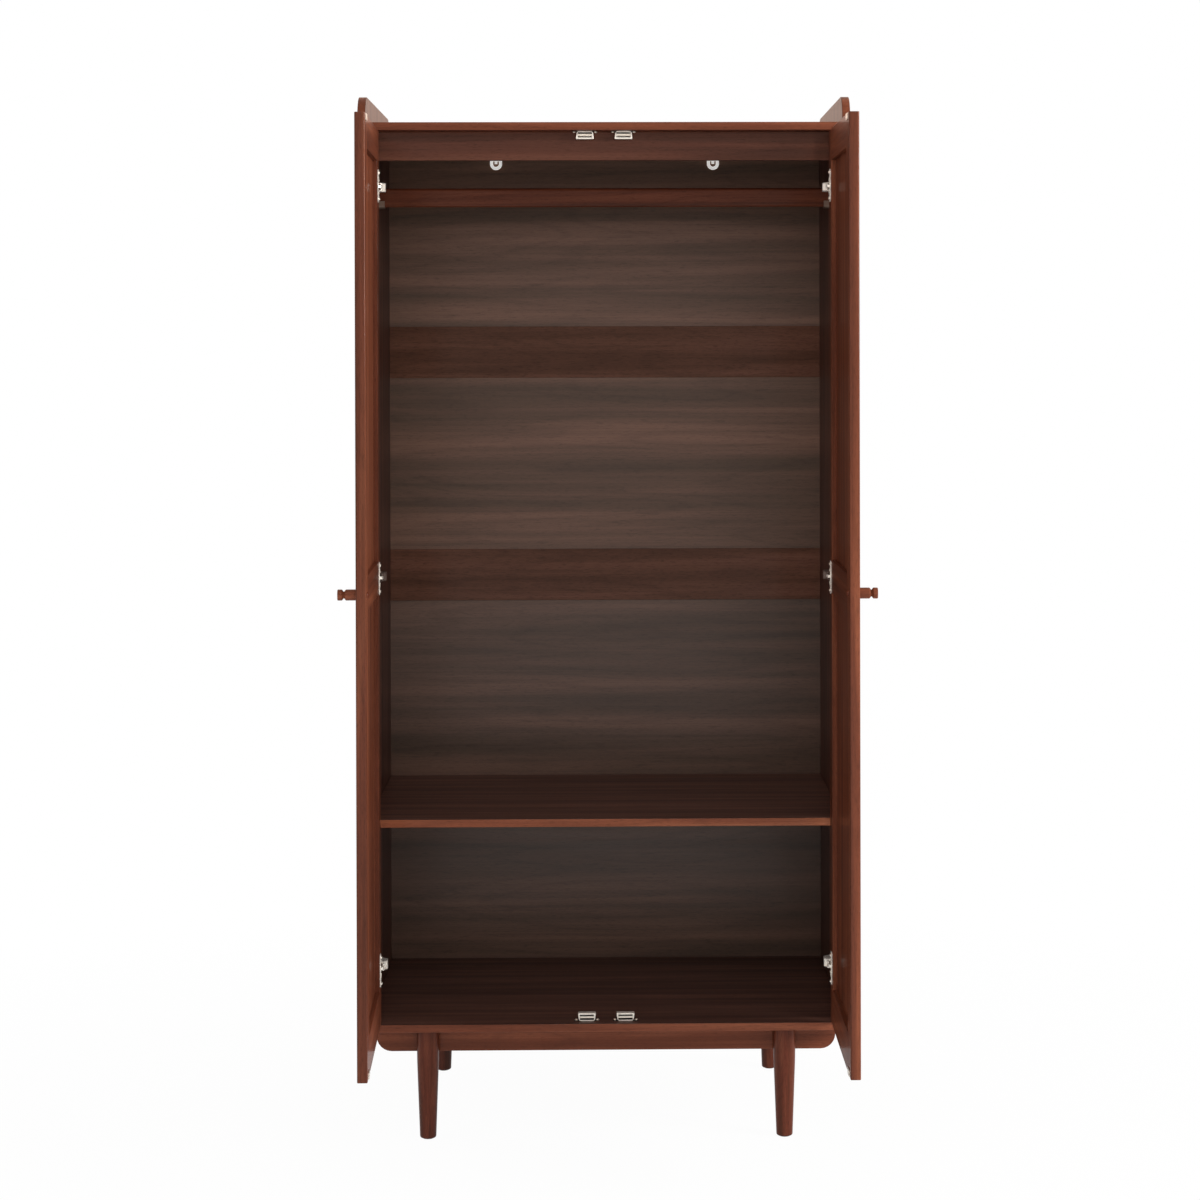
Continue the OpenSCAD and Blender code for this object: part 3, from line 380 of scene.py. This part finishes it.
# %% Outlines and boards
def soft_outline(width, height, radii, steps=6):
    """A rectangle from (0, 0) with its own radius at each corner, counter-clockwise
    from the origin: each corner is an arc, centre + radius (cos a, sin a).
    Returns the points and their outward directions."""
    centres = np.array([[0, 0], [1, 0], [1, 1], [0, 1]], float) * [width, height]
    inward = np.array([[1, 1], [-1, 1], [-1, -1], [1, -1]], float)
    radii = np.asarray(radii, float)[:, None]
    quarter = np.radians(np.linspace(0, 90, steps + 1))
    turn = quarter[None] + np.radians([[180], [270], [0], [90]])
    out = np.stack([np.cos(turn), np.sin(turn)], -1)
    points = (centres + inward * radii)[:, None] + out * radii[..., None]
    return points.reshape(-1, 2), out.reshape(-1, 2)


def eased_board(outline, thickness, ease, steps=3):
    """The rings of points of a board with eased edges, its outline in X and Y and its
    thickness along Z.

    Ring by ring, with a from -90 to 0 and then from 0 to 90 degrees, the outline lies
    ease (1 - cos a) inside itself, at the height ease + ease sin a above the lower
    face or the same distance from the upper one. Flat caps close both ends.
    """
    points, out = outline
    a = np.radians(np.linspace(-90, 0, steps + 1))
    heights = np.concatenate([ease + ease * np.sin(a),
                              thickness - ease - ease * np.sin(a[::-1])])
    inset = np.concatenate([ease * (1 - np.cos(a)), ease * (1 - np.cos(a[::-1]))])
    flat = points[None] - out[None] * inset[:, None, None]
    up = np.broadcast_to(heights[:, None, None], flat.shape[:2] + (1,))
    return np.concatenate([flat, up], -1)


def ring_faces(rings):
    """Quads between neighbouring rings of points, and a flat cap at each end."""
    count, around = rings.shape[:2]
    ring, i = np.meshgrid(np.arange(count - 1), np.arange(around), indexing="ij")
    j = (i + 1) % around
    quads = np.stack([ring * around + i, ring * around + j, (ring + 1) * around + j,
                      (ring + 1) * around + i], -1).reshape(-1, 4).tolist()
    first_cap = list(range(around))[::-1]
    last_cap = list(range((count - 1) * around, count * around))
    return quads + [first_cap, last_cap]


# %% [markdown]
# ## From arrays to pieces
#
# Each piece ends as an object at the origin, with its place in its mesh. It rides on a body of
# the model and hides the CAD node that it stands for. Weighted normals keep the big faces flat
# and let only the eased edges shine.
#
# The doors are drawn closed, where they are square to the room, and then swung open
# about their hinges by the same turn that the joints undo. Round bores are cut last,
# by cylinders: each is a profile of two points, spun about the bore's axis.

# %% Turning points about a joint
def swing(points, joint, degrees):
    """Points turned about a joint's axis: with d from the axis, unit axis k and angle
    t, d cos t + (k x d) sin t + k (k . d) (1 - cos t)."""
    k = np.array(joints[joint]["axis"], float)
    origin = np.array(joints[joint]["pos_m"], float)
    t = math.radians(degrees)
    d = points - origin
    return (origin + d * math.cos(t) + np.cross(k, d) * math.sin(t)
            + k * (d @ k)[..., None] * (1 - math.cos(t)))


def closing_turn(joint):
    """Degrees from the open rest position to the closed door."""
    return joints[joint]["range_deg"][1]


def mesh_points(thing):
    """The vertices of a mesh object as an array."""
    co = np.zeros(len(thing.data.vertices) * 3, np.float32)
    thing.data.vertices.foreach_get("co", co)
    return co.reshape(-1, 3).astype(float)


def place_of(node, joint=None):
    """Lowest and highest corner of a CAD node, with its door closed if it has one."""
    points = mesh_points(nodes[node])
    if joint:
        points = swing(points, joint, closing_turn(joint))
    return points.min(0), points.max(0)


# %% A turned surface
def turned(profile, axis_point, axis="z", flip=False, around=64):
    """A profile of (radius, distance) pairs spun about an axis: each ring is
    axis point + radius (cos a, sin a) and lies at its distance along the axis. flip
    turns its faces round, for a profile that runs against the axis."""
    radius, along = np.asarray(profile, float).T
    a = np.linspace(0, 2 * np.pi, around, endpoint=False)
    ring = np.stack([np.outer(radius, np.cos(a)), np.outer(radius, np.sin(a)),
                     np.broadcast_to(along[:, None], (len(radius), around))], -1)
    order = {"z": (0, 1, 2), "y": (1, 2, 0)}[axis]
    if flip:
        ring = ring[:, ::-1]
    return ring[..., order] + axis_point


# %% Making a piece
AXES = {"x": (1, 2, 0), "y": (0, 2, 1), "z": (0, 1, 2)}   # across, through, along


def store_grain(piece, along, joint=None):
    """Writes each vertex's place in the wood: across, through and along, in metres,
    moved by an amount of the board's own, so that no two boards match."""
    points = mesh_points(piece)
    if joint:
        points = swing(points, joint, closing_turn(joint))
    leaf = sum(ord(c) * (i + 3) for i, c in enumerate(piece.name)) % 997
    own = np.random.default_rng(leaf).uniform(0, 4, 3)
    grain = (points[:, AXES[along]] + own).astype(np.float32)
    store = piece.data.attributes.new("grain", "FLOAT_VECTOR", "POINT")
    store.data.foreach_set("vector", grain.ravel())


def drill(piece, joint, bores):
    """Cuts round bores into a piece. Each is (point on its axis, axis, radius, from, to)
    in metres, in the closed door's place where there is a joint."""
    for point, axis, radius, low, high in bores:
        tube = turned([(radius, low), (radius, high)], point, axis, around=48)
        if joint:
            tube = swing(tube, joint, -closing_turn(joint))
        mesh = bpy.data.meshes.new("bore")
        mesh.from_pydata(tube.reshape(-1, 3).tolist(), [], ring_faces(tube))
        cutter = bpy.data.objects.new("bore", mesh)
        bpy.context.scene.collection.objects.link(cutter)
        cut = piece.modifiers.new("bore", "BOOLEAN")
        cut.object, cut.operation, cut.solver = cutter, "DIFFERENCE", "EXACT"
        solid = bpy.data.meshes.new_from_object(
            piece.evaluated_get(bpy.context.evaluated_depsgraph_get()))
        piece.modifiers.clear()
        piece.data = solid
        bpy.data.objects.remove(cutter)


SMOOTH = 40                         # degrees: a sharper edge than this stays sharp
FACES_WAY = 0.5                     # cosine of 60: a face within 60 degrees looks that way


def make_piece(name, points, faces, body, material, slot, replaces, along="z",
               joint=None, bores=(), banding=None, inside=None):
    """Turns an array of points into a finished piece in the row's frame. replaces is the CAD
    node that it stands for, along the axis of its grain, and joint that of its door. banding is
    the material of the faces that look forward, where there is a second one: painted light where
    it is lighter than the board, painted shade where it is darker. inside is a direction in
    which the faces take the veneer with painted shade."""
    points = np.asarray(points, float).reshape(-1, 3)
    if joint:
        points = swing(points, joint, -closing_turn(joint))
    mesh = bpy.data.meshes.new(name)
    mesh.from_pydata(points.tolist(), [], faces)
    piece = bpy.data.objects.new(name, mesh)
    bpy.context.scene.collection.objects.link(piece)
    if bores:
        drill(piece, joint, bores)
    piece.data.name = name
    piece.data.shade_smooth()
    piece.data.set_sharp_from_angle(angle=math.radians(SMOOTH))
    store_grain(piece, along, joint)
    normals = piece.modifiers.new("flat faces", "WEIGHTED_NORMAL")
    normals.keep_sharp = True
    piece.data.materials.clear()
    piece.data.materials.append(material)
    # painted light and shade: faces that look forward take the second material, and faces that
    # look inside the veneer with painted shade
    if banding:
        piece.data.materials.append(banding)
        for face in piece.data.polygons:
            face.material_index = int(face.normal.y < -FACES_WAY)
    if inside:
        piece.data.materials.append(painted_shade_veneer)
        for face in piece.data.polygons:
            if face.normal.dot(Vector(inside)) > FACES_WAY:
                face.material_index = len(piece.data.materials) - 1
    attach(piece, body)
    if replaces:
        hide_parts(replaces)


# %% A board in the place of its CAD node
EASE = 0.0012                       # radius of the sanded edges, 1.2 mm
RAIL_EASE, PANEL_EASE = 0.0006, 0.0004   # of rails with tight joints, and thin panels
ROUNDER = 1.2                       # a plain corner's radius, as a multiple of its ease
WOOD = "dark_walnut_veneer"
NORMAL = {"x": (1, 2, 0), "y": (2, 0, 1), "z": (0, 1, 2)}   # outline's axes, thickness


def board(name, node, facing, along, material=walnut_veneer, body="carcass", joint=None,
          radii=None, ease=EASE, slot=WOOD, bores=(), banding=None, within=None,
          inside=None):
    """An eased board that fills its CAD node's box. facing is the axis of its
    thickness, and radii are its outline's corners in metres. within gives the lowest
    and highest X of one whose tenons are hidden in its neighbours."""
    low, high = place_of(node, joint)
    if within:
        low[0], high[0] = within
    a, b, c = NORMAL[facing]
    size = high - low
    radii = radii or [ease * ROUNDER] * 4
    rings = eased_board(soft_outline(size[a], size[b], radii), size[c], ease)
    points = np.empty_like(rings)
    points[..., a], points[..., b], points[..., c] = np.moveaxis(rings, -1, 0)
    make_piece(name, points + low, ring_faces(rings), body, material, slot, node, along,
               joint, bores, banding, inside)


# %% [markdown]
# ## The carcass
#
# Two side panels stand on nothing but the joints with the bottom panel, and rise above the top
# with round corners. Top, bottom and shelf lie between them, and a rail stiffens the front under
# the top. All are 15 mm boards. The grain runs up the sides and along everything that lies
# across. Front edges carry painted light, a lighter leaf, and the faces of the inside painted
# shade, a browner, darker one.

# %% Side panels
CORNER = 0.045                      # radius of the side panels' upper corners
for side in ("left", "right"):
    # painted light: the right panel's front edge takes the lighter leaf, the left one's stays
    # plain; the inner faces take painted shade
    board(f"{side}_side_board", f"{side}_side_panel", "x", "z",
          radii=[EASE * ROUNDER, EASE * ROUNDER, CORNER, CORNER],
          banding=walnut_veneer if side == "left" else painted_light_veneer,
          inside=(1, 0, 0) if side == "left" else (-1, 0, 0))

# %% Top, bottom, shelf and front rail
CAM_R, CAM_DEEP = 0.00765, 0.0122   # a cam lock's bore
CAM_IN = 0.024                      # its middle from the panel's end
DEPTH_MIDDLE = 0.2                  # in Y, between the front cams and the rear ones
PAST = 0.001                        # how far a cutter sticks out of the wood


def cam_bores(node):
    """The bores for the cam locks, four in the underside of a panel."""
    low, high = place_of(node)
    locks = mesh_points(nodes["cam_locks"])
    near = locks[(locks[:, 2] > low[2] - PAST) & (locks[:, 2] < high[2])]
    ys = [near[near[:, 1] < DEPTH_MIDDLE, 1], near[near[:, 1] > DEPTH_MIDDLE, 1]]
    return [((sx * (high[0] - CAM_IN), (y.min() + y.max()) / 2, 0), "z", CAM_R,
             low[2] - PAST, low[2] + CAM_DEEP) for sx in (-1, 1) for y in ys]


# painted light on the front edges, and painted shade on the upper faces of the bottom and the
# shelf
board("top_board", "top_panel", "z", "x", bores=cam_bores("top_panel"),
      banding=painted_light_veneer)
board("bottom_board", "bottom_panel", "z", "x", bores=cam_bores("bottom_panel"),
      banding=painted_light_veneer, inside=(0, 0, 1))
board("shelf_board", "shelf", "z", "x", banding=painted_light_shelf_edge, inside=(0, 0, 1))
board("front_rail_board", "front_top_rail", "y", "x", front_veneer)

# %% [markdown]
# ## The back
#
# Three rails cross the back, and three thin panels sit in grooves between them, a
# little behind the rails' faces. The panels have a plainer veneer with more sheen.

# %% Back rails and panels
# the top rail takes the panels' lighter, greyer leaf: painted light in the shade under the top
for place, leaf in (("top", back_veneer), ("upper", rail_veneer), ("lower", rail_veneer)):
    board(f"back_{place}_rail_board", f"back_{place}_rail", "y", "x", leaf,
          ease=RAIL_EASE)
# the lowest panel takes painted shade, under the shelf
for place, leaf in (("upper", back_veneer), ("middle", back_veneer),
                    ("lower", back_veneer_painted_shade)):
    board(f"back_{place}_veneer", f"back_{place}_panel", "y", "x", leaf,
          ease=PANEL_EASE, slot="back_board_veneer")

# %% [markdown]
# ## Aprons
#
# Under the bottom panel, an apron runs along the front and another along the back.
# Their lower corners are rounded.

# %% Aprons
APRON_CORNER = 0.028
for place in ("front", "rear"):
    # seen along Y, the outline's first axis is Z and its second is X
    board(f"{place}_apron_board", f"{place}_apron", "y", "x", painted_light_veneer,
          radii=[APRON_CORNER, EASE * ROUNDER, EASE * ROUNDER, APRON_CORNER])

# %% [markdown]
# ## Turned pieces: legs and knobs
#
# Legs and knobs are turned on a lathe, so each is a profile spun about a line, by the
# function that shaped the bores' cutters. Blender's Spin tool or a Screw modifier would
# do it. Computing the rings is as short, and the profile's numbers stay readable: radius
# against height.

# %% An arc of a profile
def rounded(centre, radius, start, end, steps=5):
    """An arc of a profile: centre + radius (cos a, sin a), a in degrees."""
    a = np.radians(np.linspace(start, end, steps + 1))
    return [(centre[0] + radius * math.cos(t), centre[1] + radius * math.sin(t)) for t in a]


# %% Legs
LEG_STRAIGHT = 0.052                # the straight part below the bottom panel
BELOW, ABOVE = 0.012, 0.008         # the taper ends this far from it, in a soft bend
BEND = 0.985                        # its radius there, as a share of the straight part's
FOOT_R = 0.01525
FOOT_ROUND = 0.004
TIP = 0.0001                        # nearly a point, in the middle of the flat foot
for side in ("left", "right"):
    for place in ("front", "rear"):
        node = f"{place}_{side}_leg"
        low, high = place_of(node)
        top_r = (high[0] - low[0]) / 2
        centre = ((low[0] + high[0]) / 2, (low[1] + high[1]) / 2, 0)
        profile = [(TIP, low[2]), (FOOT_R - FOOT_ROUND, low[2])]
        profile += rounded((FOOT_R - FOOT_ROUND, low[2] + FOOT_ROUND), FOOT_ROUND, -90, 0)[1:]
        profile += [(top_r * BEND, high[2] - LEG_STRAIGHT - BELOW),
                    (top_r, high[2] - LEG_STRAIGHT + ABOVE), (top_r, high[2])]
        rings = turned(profile, centre)
        make_piece(f"{place}_{side}_turned_leg", rings, ring_faces(rings), "carcass",
                   walnut_solid, WOOD, node)

# %% [markdown]
# ## The hanging rail
#
# The rail that carries the hangers is a wooden bar, higher than it is thick, with well rounded
# long edges. Its ends rest in two cradles, darkened with painted shade. Its outline is the bar's
# cross section, and the thickness of the "board" is the bar's length.

# %% Hanging rail
RAIL_ROUND = 0.006
board("hanging_bar", "hanging_rail", "x", "x", radii=[RAIL_ROUND] * 4)

# %% [markdown]
# ## The doors
#
# Each door is a frame of two upright stiles and three rails, with two thin panels set back in
# it. The frame's grain runs along each member, which is how one sees at once that it is a joined
# frame and not one carved slab. The rails are drawn only between the stiles: their tenons are
# hidden, and two faces in one place would flicker. The stile on the hinge side has three 35 mm
# bores, where the hinge cups sit. The left door's upper panel takes the lighter leaf: painted
# light, for the light that falls on its inner face from the right.

# %% Door frames and panels
CUP_R = 0.01765
UNDER_CUP = 0.0002                  # air between a cup and the bottom of its bore
OFF_OUTER, OFF_INNER = 0.003, 0.002   # what lies this far in from both faces is sunk
APART = 0.2                         # two points further apart in height are of two hinges


def cup_bores(side, joint):
    """The hinge cups' bores, from the door's inner face 12 mm into the stile."""
    cups = swing(mesh_points(nodes[f"{side}_hinge_cups"]), joint, closing_turn(joint))
    low, high = place_of(f"{side}_door_hinge_stile", joint)
    sunk = cups[(cups[:, 1] > low[1] + OFF_OUTER) & (cups[:, 1] < high[1] - OFF_INNER)]
    heights = np.sort(sunk[:, 2])
    hinges = np.split(heights, np.flatnonzero(np.diff(heights) > APART) + 1)
    middle = (sunk[:, 0].min() + sunk[:, 0].max()) / 2
    depth = sunk[:, 1].min() - UNDER_CUP
    return [((middle, 0, (h.min() + h.max()) / 2), "y", CUP_R, depth, high[1] + PAST)
            for h in hinges]


ARRIS, JOINED = 0.0026, 0.0006      # radius of a door's outer edges, and of joined ones
for side in ("left", "right"):
    joint, body = f"{side}_door_swing", f"{side}_door"
    on_door = {"body": body, "joint": joint}
    # the outer corners lie at the outline's low X end, or at its high one
    outer_low, outer_high = [ARRIS, JOINED, JOINED, ARRIS], [JOINED, ARRIS, ARRIS, JOINED]
    if side == "right":
        outer_low, outer_high = outer_high, outer_low
    board(f"{side}_door_hinge_upright", f"{side}_door_hinge_stile", "z", "z",
          radii=outer_low, bores=cup_bores(side, joint), **on_door)
    # the left door's front edge takes painted shade
    board(f"{side}_door_free_upright", f"{side}_door_free_stile", "z", "z",
          radii=outer_high, banding=painted_shade_edge if side == "left" else None, **on_door)
    faces_x = [corner[0] for end in ("hinge", "free")
               for corner in place_of(f"{side}_door_{end}_stile", joint)]
    for place in ("top", "mid", "bottom"):
        board(f"{side}_door_{place}_crosspiece", f"{side}_door_{place}_rail", "y", "x",
              ease=RAIL_EASE, within=sorted(faces_x)[1:3], **on_door)
    for place in ("upper", "lower"):
        # the left door's upper panel takes painted light
        board(f"{side}_door_{place}_field", f"{side}_door_{place}_panel", "y", "z",
              painted_light_veneer if (side, place) == ("left", "upper") else walnut_veneer,
              ease=PANEL_EASE, **on_door)

# %% Knobs
MM = 0.001
# radius against distance from the door, in millimetres: foot, neck, head
KNOB = [(0.01, 0.0), (9.3, 0.0), (9.5, 0.4), (9.5, 17.6), (9.2, 18.5), (6.3, 20.8),
        (5.75, 21.5), (5.75, 21.7), (6.3, 22.4), (9.2, 24.7), (9.5, 25.6), (9.5, 31.5),
        (9.2, 32.2), (8.5, 32.5), (0.01, 32.5)]
for side in ("left", "right"):
    joint = f"{side}_door_swing"
    low, high = place_of(f"{side}_knob", joint)
    centre = ((low[0] + high[0]) / 2, high[1], (low[2] + high[2]) / 2)
    rings = turned(np.array(KNOB) * [MM, -MM], centre, axis="y", flip=True)
    make_piece(f"{side}_turned_knob", rings, ring_faces(rings), f"{side}_door",
               painted_light_veneer, WOOD, f"{side}_knob", "y", joint)

# %% [markdown]
# ## Metal fittings
#
# Hinges, screws and strike plates are steel with a nickel plating: a warm, slightly yellow
# white, dulled by the tumbling drum, so its gloss is a soft one. The rail's cradles are darkened
# with painted shade, and the magnetic catches have die-cast cases. Plastic is left for the
# straps' loops on the back and for the glides under the legs.

# %% Metals and plastics
def metal(name, colour, roughness, grit=0.0006, uneven=0.08, metallic=1.0):
    """A metal whose roughness wavers from place to place, as tumbled plating does: by
    uneven at most, over spots of the size grit, in metres."""
    material = bpy.data.materials.new(name)
    material.use_nodes = True
    tree = material.node_tree
    place = add(tree, "ShaderNodeTexCoord").outputs["Object"]
    grain = add(tree, "ShaderNodeTexNoise", {"Vector": place, "Scale": 1 / grit,
                "Detail": 2.0})
    rough = add(tree, "ShaderNodeMapRange", {"Value": grain.outputs[0], "From Min": 0.3,
                "From Max": 0.7, "To Min": roughness - uneven, "To Max": roughness + uneven})
    relief = add(tree, "ShaderNodeBump", {"Height": grain.outputs[0], "Strength": 0.1,
                 "Distance": 0.00002})
    shader = tree.nodes["Principled BSDF"]
    tree.links.new(rough.outputs[0], shader.inputs["Roughness"])
    tree.links.new(relief.outputs[0], shader.inputs["Normal"])
    shader.inputs["Base Color"].default_value = linear(colour)
    shader.inputs["Metallic"].default_value = metallic
    return material


def moulded(name, colour, roughness, grit=0.0008, glow=0.0):
    """A moulded plastic with the faint texture of its mould, whose grain is grit wide,
    in metres. glow is how much light it gives of its own."""
    material = bpy.data.materials.new(name)
    material.use_nodes = True
    tree = material.node_tree
    place = add(tree, "ShaderNodeTexCoord").outputs["Object"]
    grain = add(tree, "ShaderNodeTexNoise", {"Vector": place, "Scale": 1 / grit,
                "Detail": 3.0})
    rough = add(tree, "ShaderNodeMapRange", {"Value": grain.outputs[0],
                "To Min": roughness - 0.06, "To Max": roughness + 0.06})
    relief = add(tree, "ShaderNodeBump", {"Height": grain.outputs[0], "Strength": 0.15,
                 "Distance": 0.00005})
    shader = tree.nodes["Principled BSDF"]
    tree.links.new(rough.outputs[0], shader.inputs["Roughness"])
    tree.links.new(relief.outputs[0], shader.inputs["Normal"])
    shader.inputs["Base Color"].default_value = linear(colour)
    shader.inputs["IOR"].default_value = 1.49
    shader.inputs["Emission Color"].default_value = linear(colour)
    shader.inputs["Emission Strength"].default_value = glow
    return material


# small, warm white sparks in the dark inside
nickel = metal("nickel plated steel", "#ece5d8", 0.30, metallic=0.8)
# whiter and less metallic: painted light on the cups' flanges, seen edge on, a thin clear line
# down the doors' edges
painted_light_nickel = metal("freshly nickel plated steel", "#fbf6ec", 0.30, metallic=0.4)
# the arms: as white at the top and bottom hinges, and darkened in the middle one by painted
# shade, a painted reflection of the shaded inside of the cabinet
ARM_WHITE, ARM_SHADED = "#f8f3ea", "#6e5f58"
MIDDLE_HINGE, ARM_REACH = 1.052, 0.1     # metres above the floor, and up and down from it
arm_nickel = metal("nickel plated hinge arm", ARM_WHITE, 0.30, metallic=0.5)
tree = arm_nickel.node_tree
height = add(tree, "ShaderNodeSeparateXYZ",
             {0: add(tree, "ShaderNodeTexCoord").outputs["Object"]})
# painted shade: arms within ARM_REACH of the middle hinge's height take the dark colour
in_shade = add(tree, "ShaderNodeMath", {0: height.outputs["Z"], 1: MIDDLE_HINGE,
               2: ARM_REACH}, operation="COMPARE")
arm_colour = add(tree, "ShaderNodeMix", {0: in_shade.outputs[0], 6: linear(ARM_WHITE),
                 7: linear(ARM_SHADED)}, data_type="RGBA")
tree.links.new(arm_colour.outputs[2], tree.nodes["Principled BSDF"].inputs["Base Color"])
# creamier and duller than the nickel, so that a catch reads as a solid little case
cast_metal = metal("die cast aluminium", "#f4efe4", 0.40, metallic=0.25)
# almost black: painted shade on the pole plates' edges, the two dark lines in a catch's slot,
# and on the ear plates up under the top
painted_shade_steel = metal("blackened steel pole plate", "#0e0b09", 0.6, metallic=0.0)
# a dull brown steel: painted shade on the rail's cradles, which keeps them quiet beside the
# bright hinges
painted_shade_cradle_steel = metal("bronzed steel", "#8c776a", 0.40, metallic=0.6)
# the pale bar between the dark lines
magnet = metal("nickel plated magnet", "#f4eee0", 0.40, metallic=0.4)
# a yellow glint where a leg is taken off
brass_metal = metal("turned brass", "#dcb96f", 0.28)
# a painted glow of its own, which lifts the straps' loops out of the shade under the front rail
glowing_white_plastic = moulded("white moulded plastic", "#fafaf7", 0.42, glow=0.45)
# a thin dark line between each leg and the floor
black_nylon = moulded("black moulded nylon", "#1c1c1c", 0.5)
# pale and matt, hidden in the joints
beech = moulded("unfinished beech", "#c9a27a", 0.6, 0.002)

# %% [markdown]
# ## Magnetic catches and screw caps
#
# A catch is a small die-cast case with rounded corners, set on a steel plate whose two ears are
# screwed to the panel; the ears are painted nearly black, as shade up under the top. In its
# slot, a magnet lies between two thin pole plates, whose edges are painted nearly black, as
# shade in the slot. The case is one surface: its rings run forward over the outside, turn in
# round the front, and go back into the slot.
#
# A small turned cap covers the head of the screw that holds each knob.

# %% Joining several surfaces into one piece
def joined(surfaces):
    """Vertices and faces of several ringed surfaces as one mesh. Each surface is an
    array of rings, closed at both ends."""
    points, faces = [], []
    for rings in surfaces:
        start = sum(len(p) for p in points)
        faces += [[start + i for i in face] for face in ring_faces(rings)]
        points.append(rings.reshape(-1, 3))
    return np.concatenate(points), faces


# %% Catches
CASE_W, CASE_H = 0.0335, 0.0150
CASE_WALL, CASE_ROOF, CASE_BACK = 0.0034, 0.0026, 0.0020   # beside, over and behind the slot
CASE_CORNERS = [0.0040, 0.0040, 0.0018, 0.0018]   # at the panel, and away from it
CASE_EASE, SLOT_CORNER = 0.0008, 0.0006
FOOT_SHARE, FULL_WIDTH = 0.86, 0.009     # the case is narrower where it meets the panel
EAR_W, EAR_IN, EAR_T = 0.048, 0.0010, 0.0012
EAR_CORNER, EAR_EASE = 0.005, 0.0003


def catch_rings(depth):
    """The case's rings as (across, off the panel, back from the front). At the panel it
    has FOOT_SHARE of its width, growing linearly to all of it at FULL_WIDTH."""
    outer, out = soft_outline(CASE_W, CASE_H, CASE_CORNERS)
    share = FOOT_SHARE + (1 - FOOT_SHARE) * np.minimum(outer[:, 1] / FULL_WIDTH, 1)
    outer[:, 0] = CASE_W / 2 + (outer[:, 0] - CASE_W / 2) * share
    slot, _ = soft_outline(CASE_W - 2 * CASE_WALL, CASE_H - 2 * CASE_ROOF, [SLOT_CORNER] * 4)
    slot = slot + [CASE_WALL, CASE_ROOF]
    a = np.radians(np.linspace(0, 90, 4))
    rings = [(outer, 0.0, depth)] + [
        (outer, CASE_EASE * (1 - math.cos(t)), CASE_EASE * (1 - math.sin(t))) for t in a]
    rings += [(slot, 0.0, 0.0), (slot, 0.0, depth - CASE_BACK)]
    return np.stack([np.column_stack([line - out * inset, np.full(len(line), back)])
                     for line, inset, back in rings])


low, high = place_of("catch_bodies")
depth = high[1] - low[1]
case = catch_rings(depth)
ear = eased_board(soft_outline(EAR_W, depth - 2 * EAR_IN, [EAR_CORNER] * 4), EAR_T, EAR_EASE)
cases, ears = [], []
for side in (-1, 1):
    middle = side * (high[0] - EAR_W / 2)
    for seat, up in ((high[2], -1), (low[2], 1)):
        at = np.stack([middle - CASE_W / 2 + case[..., 0], low[1] + case[..., 2],
                       seat + up * case[..., 1]], -1)
        plate = np.stack([middle - EAR_W / 2 + ear[..., 0], low[1] + EAR_IN + ear[..., 1],
                          seat + up * ear[..., 2]], -1)
        cases.append(at[:, ::up])
        ears.append(plate[:, ::up])
make_piece("catch_cases", *joined(cases), "carcass", cast_metal, "cast_aluminium",
           "catch_bodies")
# nearly black: painted shade on the ear plates, up under the top
make_piece("catch_ear_plates", *joined(ears), "carcass", painted_shade_steel,
           "nickel_plated_steel", None)

# %% Caps on the knobs' screws
# radius against distance from the stile, in millimetres
CAP = [(0.01, 0.0), (5.2, 0.0), (5.2, 0.7), (4.6, 1.9), (3.0, 2.7), (0.01, 3.0)]
for side in ("left", "right"):
    joint = f"{side}_door_swing"
    low, high = place_of(f"{side}_knob", joint)
    inner = place_of(f"{side}_door_free_stile", joint)[1][1]
    centre = np.array([(low[0] + high[0]) / 2, inner, (low[2] + high[2]) / 2])
    rings = turned(np.array(CAP) * MM, centre, axis="y", around=32)
    make_piece(f"{side}_knob_screw_cap", rings, ring_faces(rings), f"{side}_door",
               walnut_solid, WOOD, None, "y", joint)

# %% Finishes of the CAD's own fittings
FINISH = {
    "leg_bolts": nickel, "cam_bolts": nickel, "wood_screws": nickel, "shelf_pins": nickel,
    "cam_locks": nickel, "rail_cradles": painted_shade_cradle_steel, "catch_pole_plates": painted_shade_steel,
    "catch_magnets": magnet, "leg_inserts": brass_metal, "leg_glides": black_nylon,
    "wall_restraints": glowing_white_plastic, "dowels": beech,
}
ON_EACH_SIDE = {
    "hinge_plates": nickel, "hinge_arms": arm_nickel, "hinge_links": arm_nickel,
    "hinge_cups": painted_light_nickel, "strike_plates": nickel, "door_screws": nickel,
}
for side in ("left", "right"):
    for part, material in ON_EACH_SIDE.items():
        FINISH[f"{side}_{part}"] = material

for node, material in FINISH.items():
    for slot in nodes[node].material_slots:
        slot.material = material
print(sum(1 for n in nodes.values() if not n.hide_render), "CAD nodes are shown")
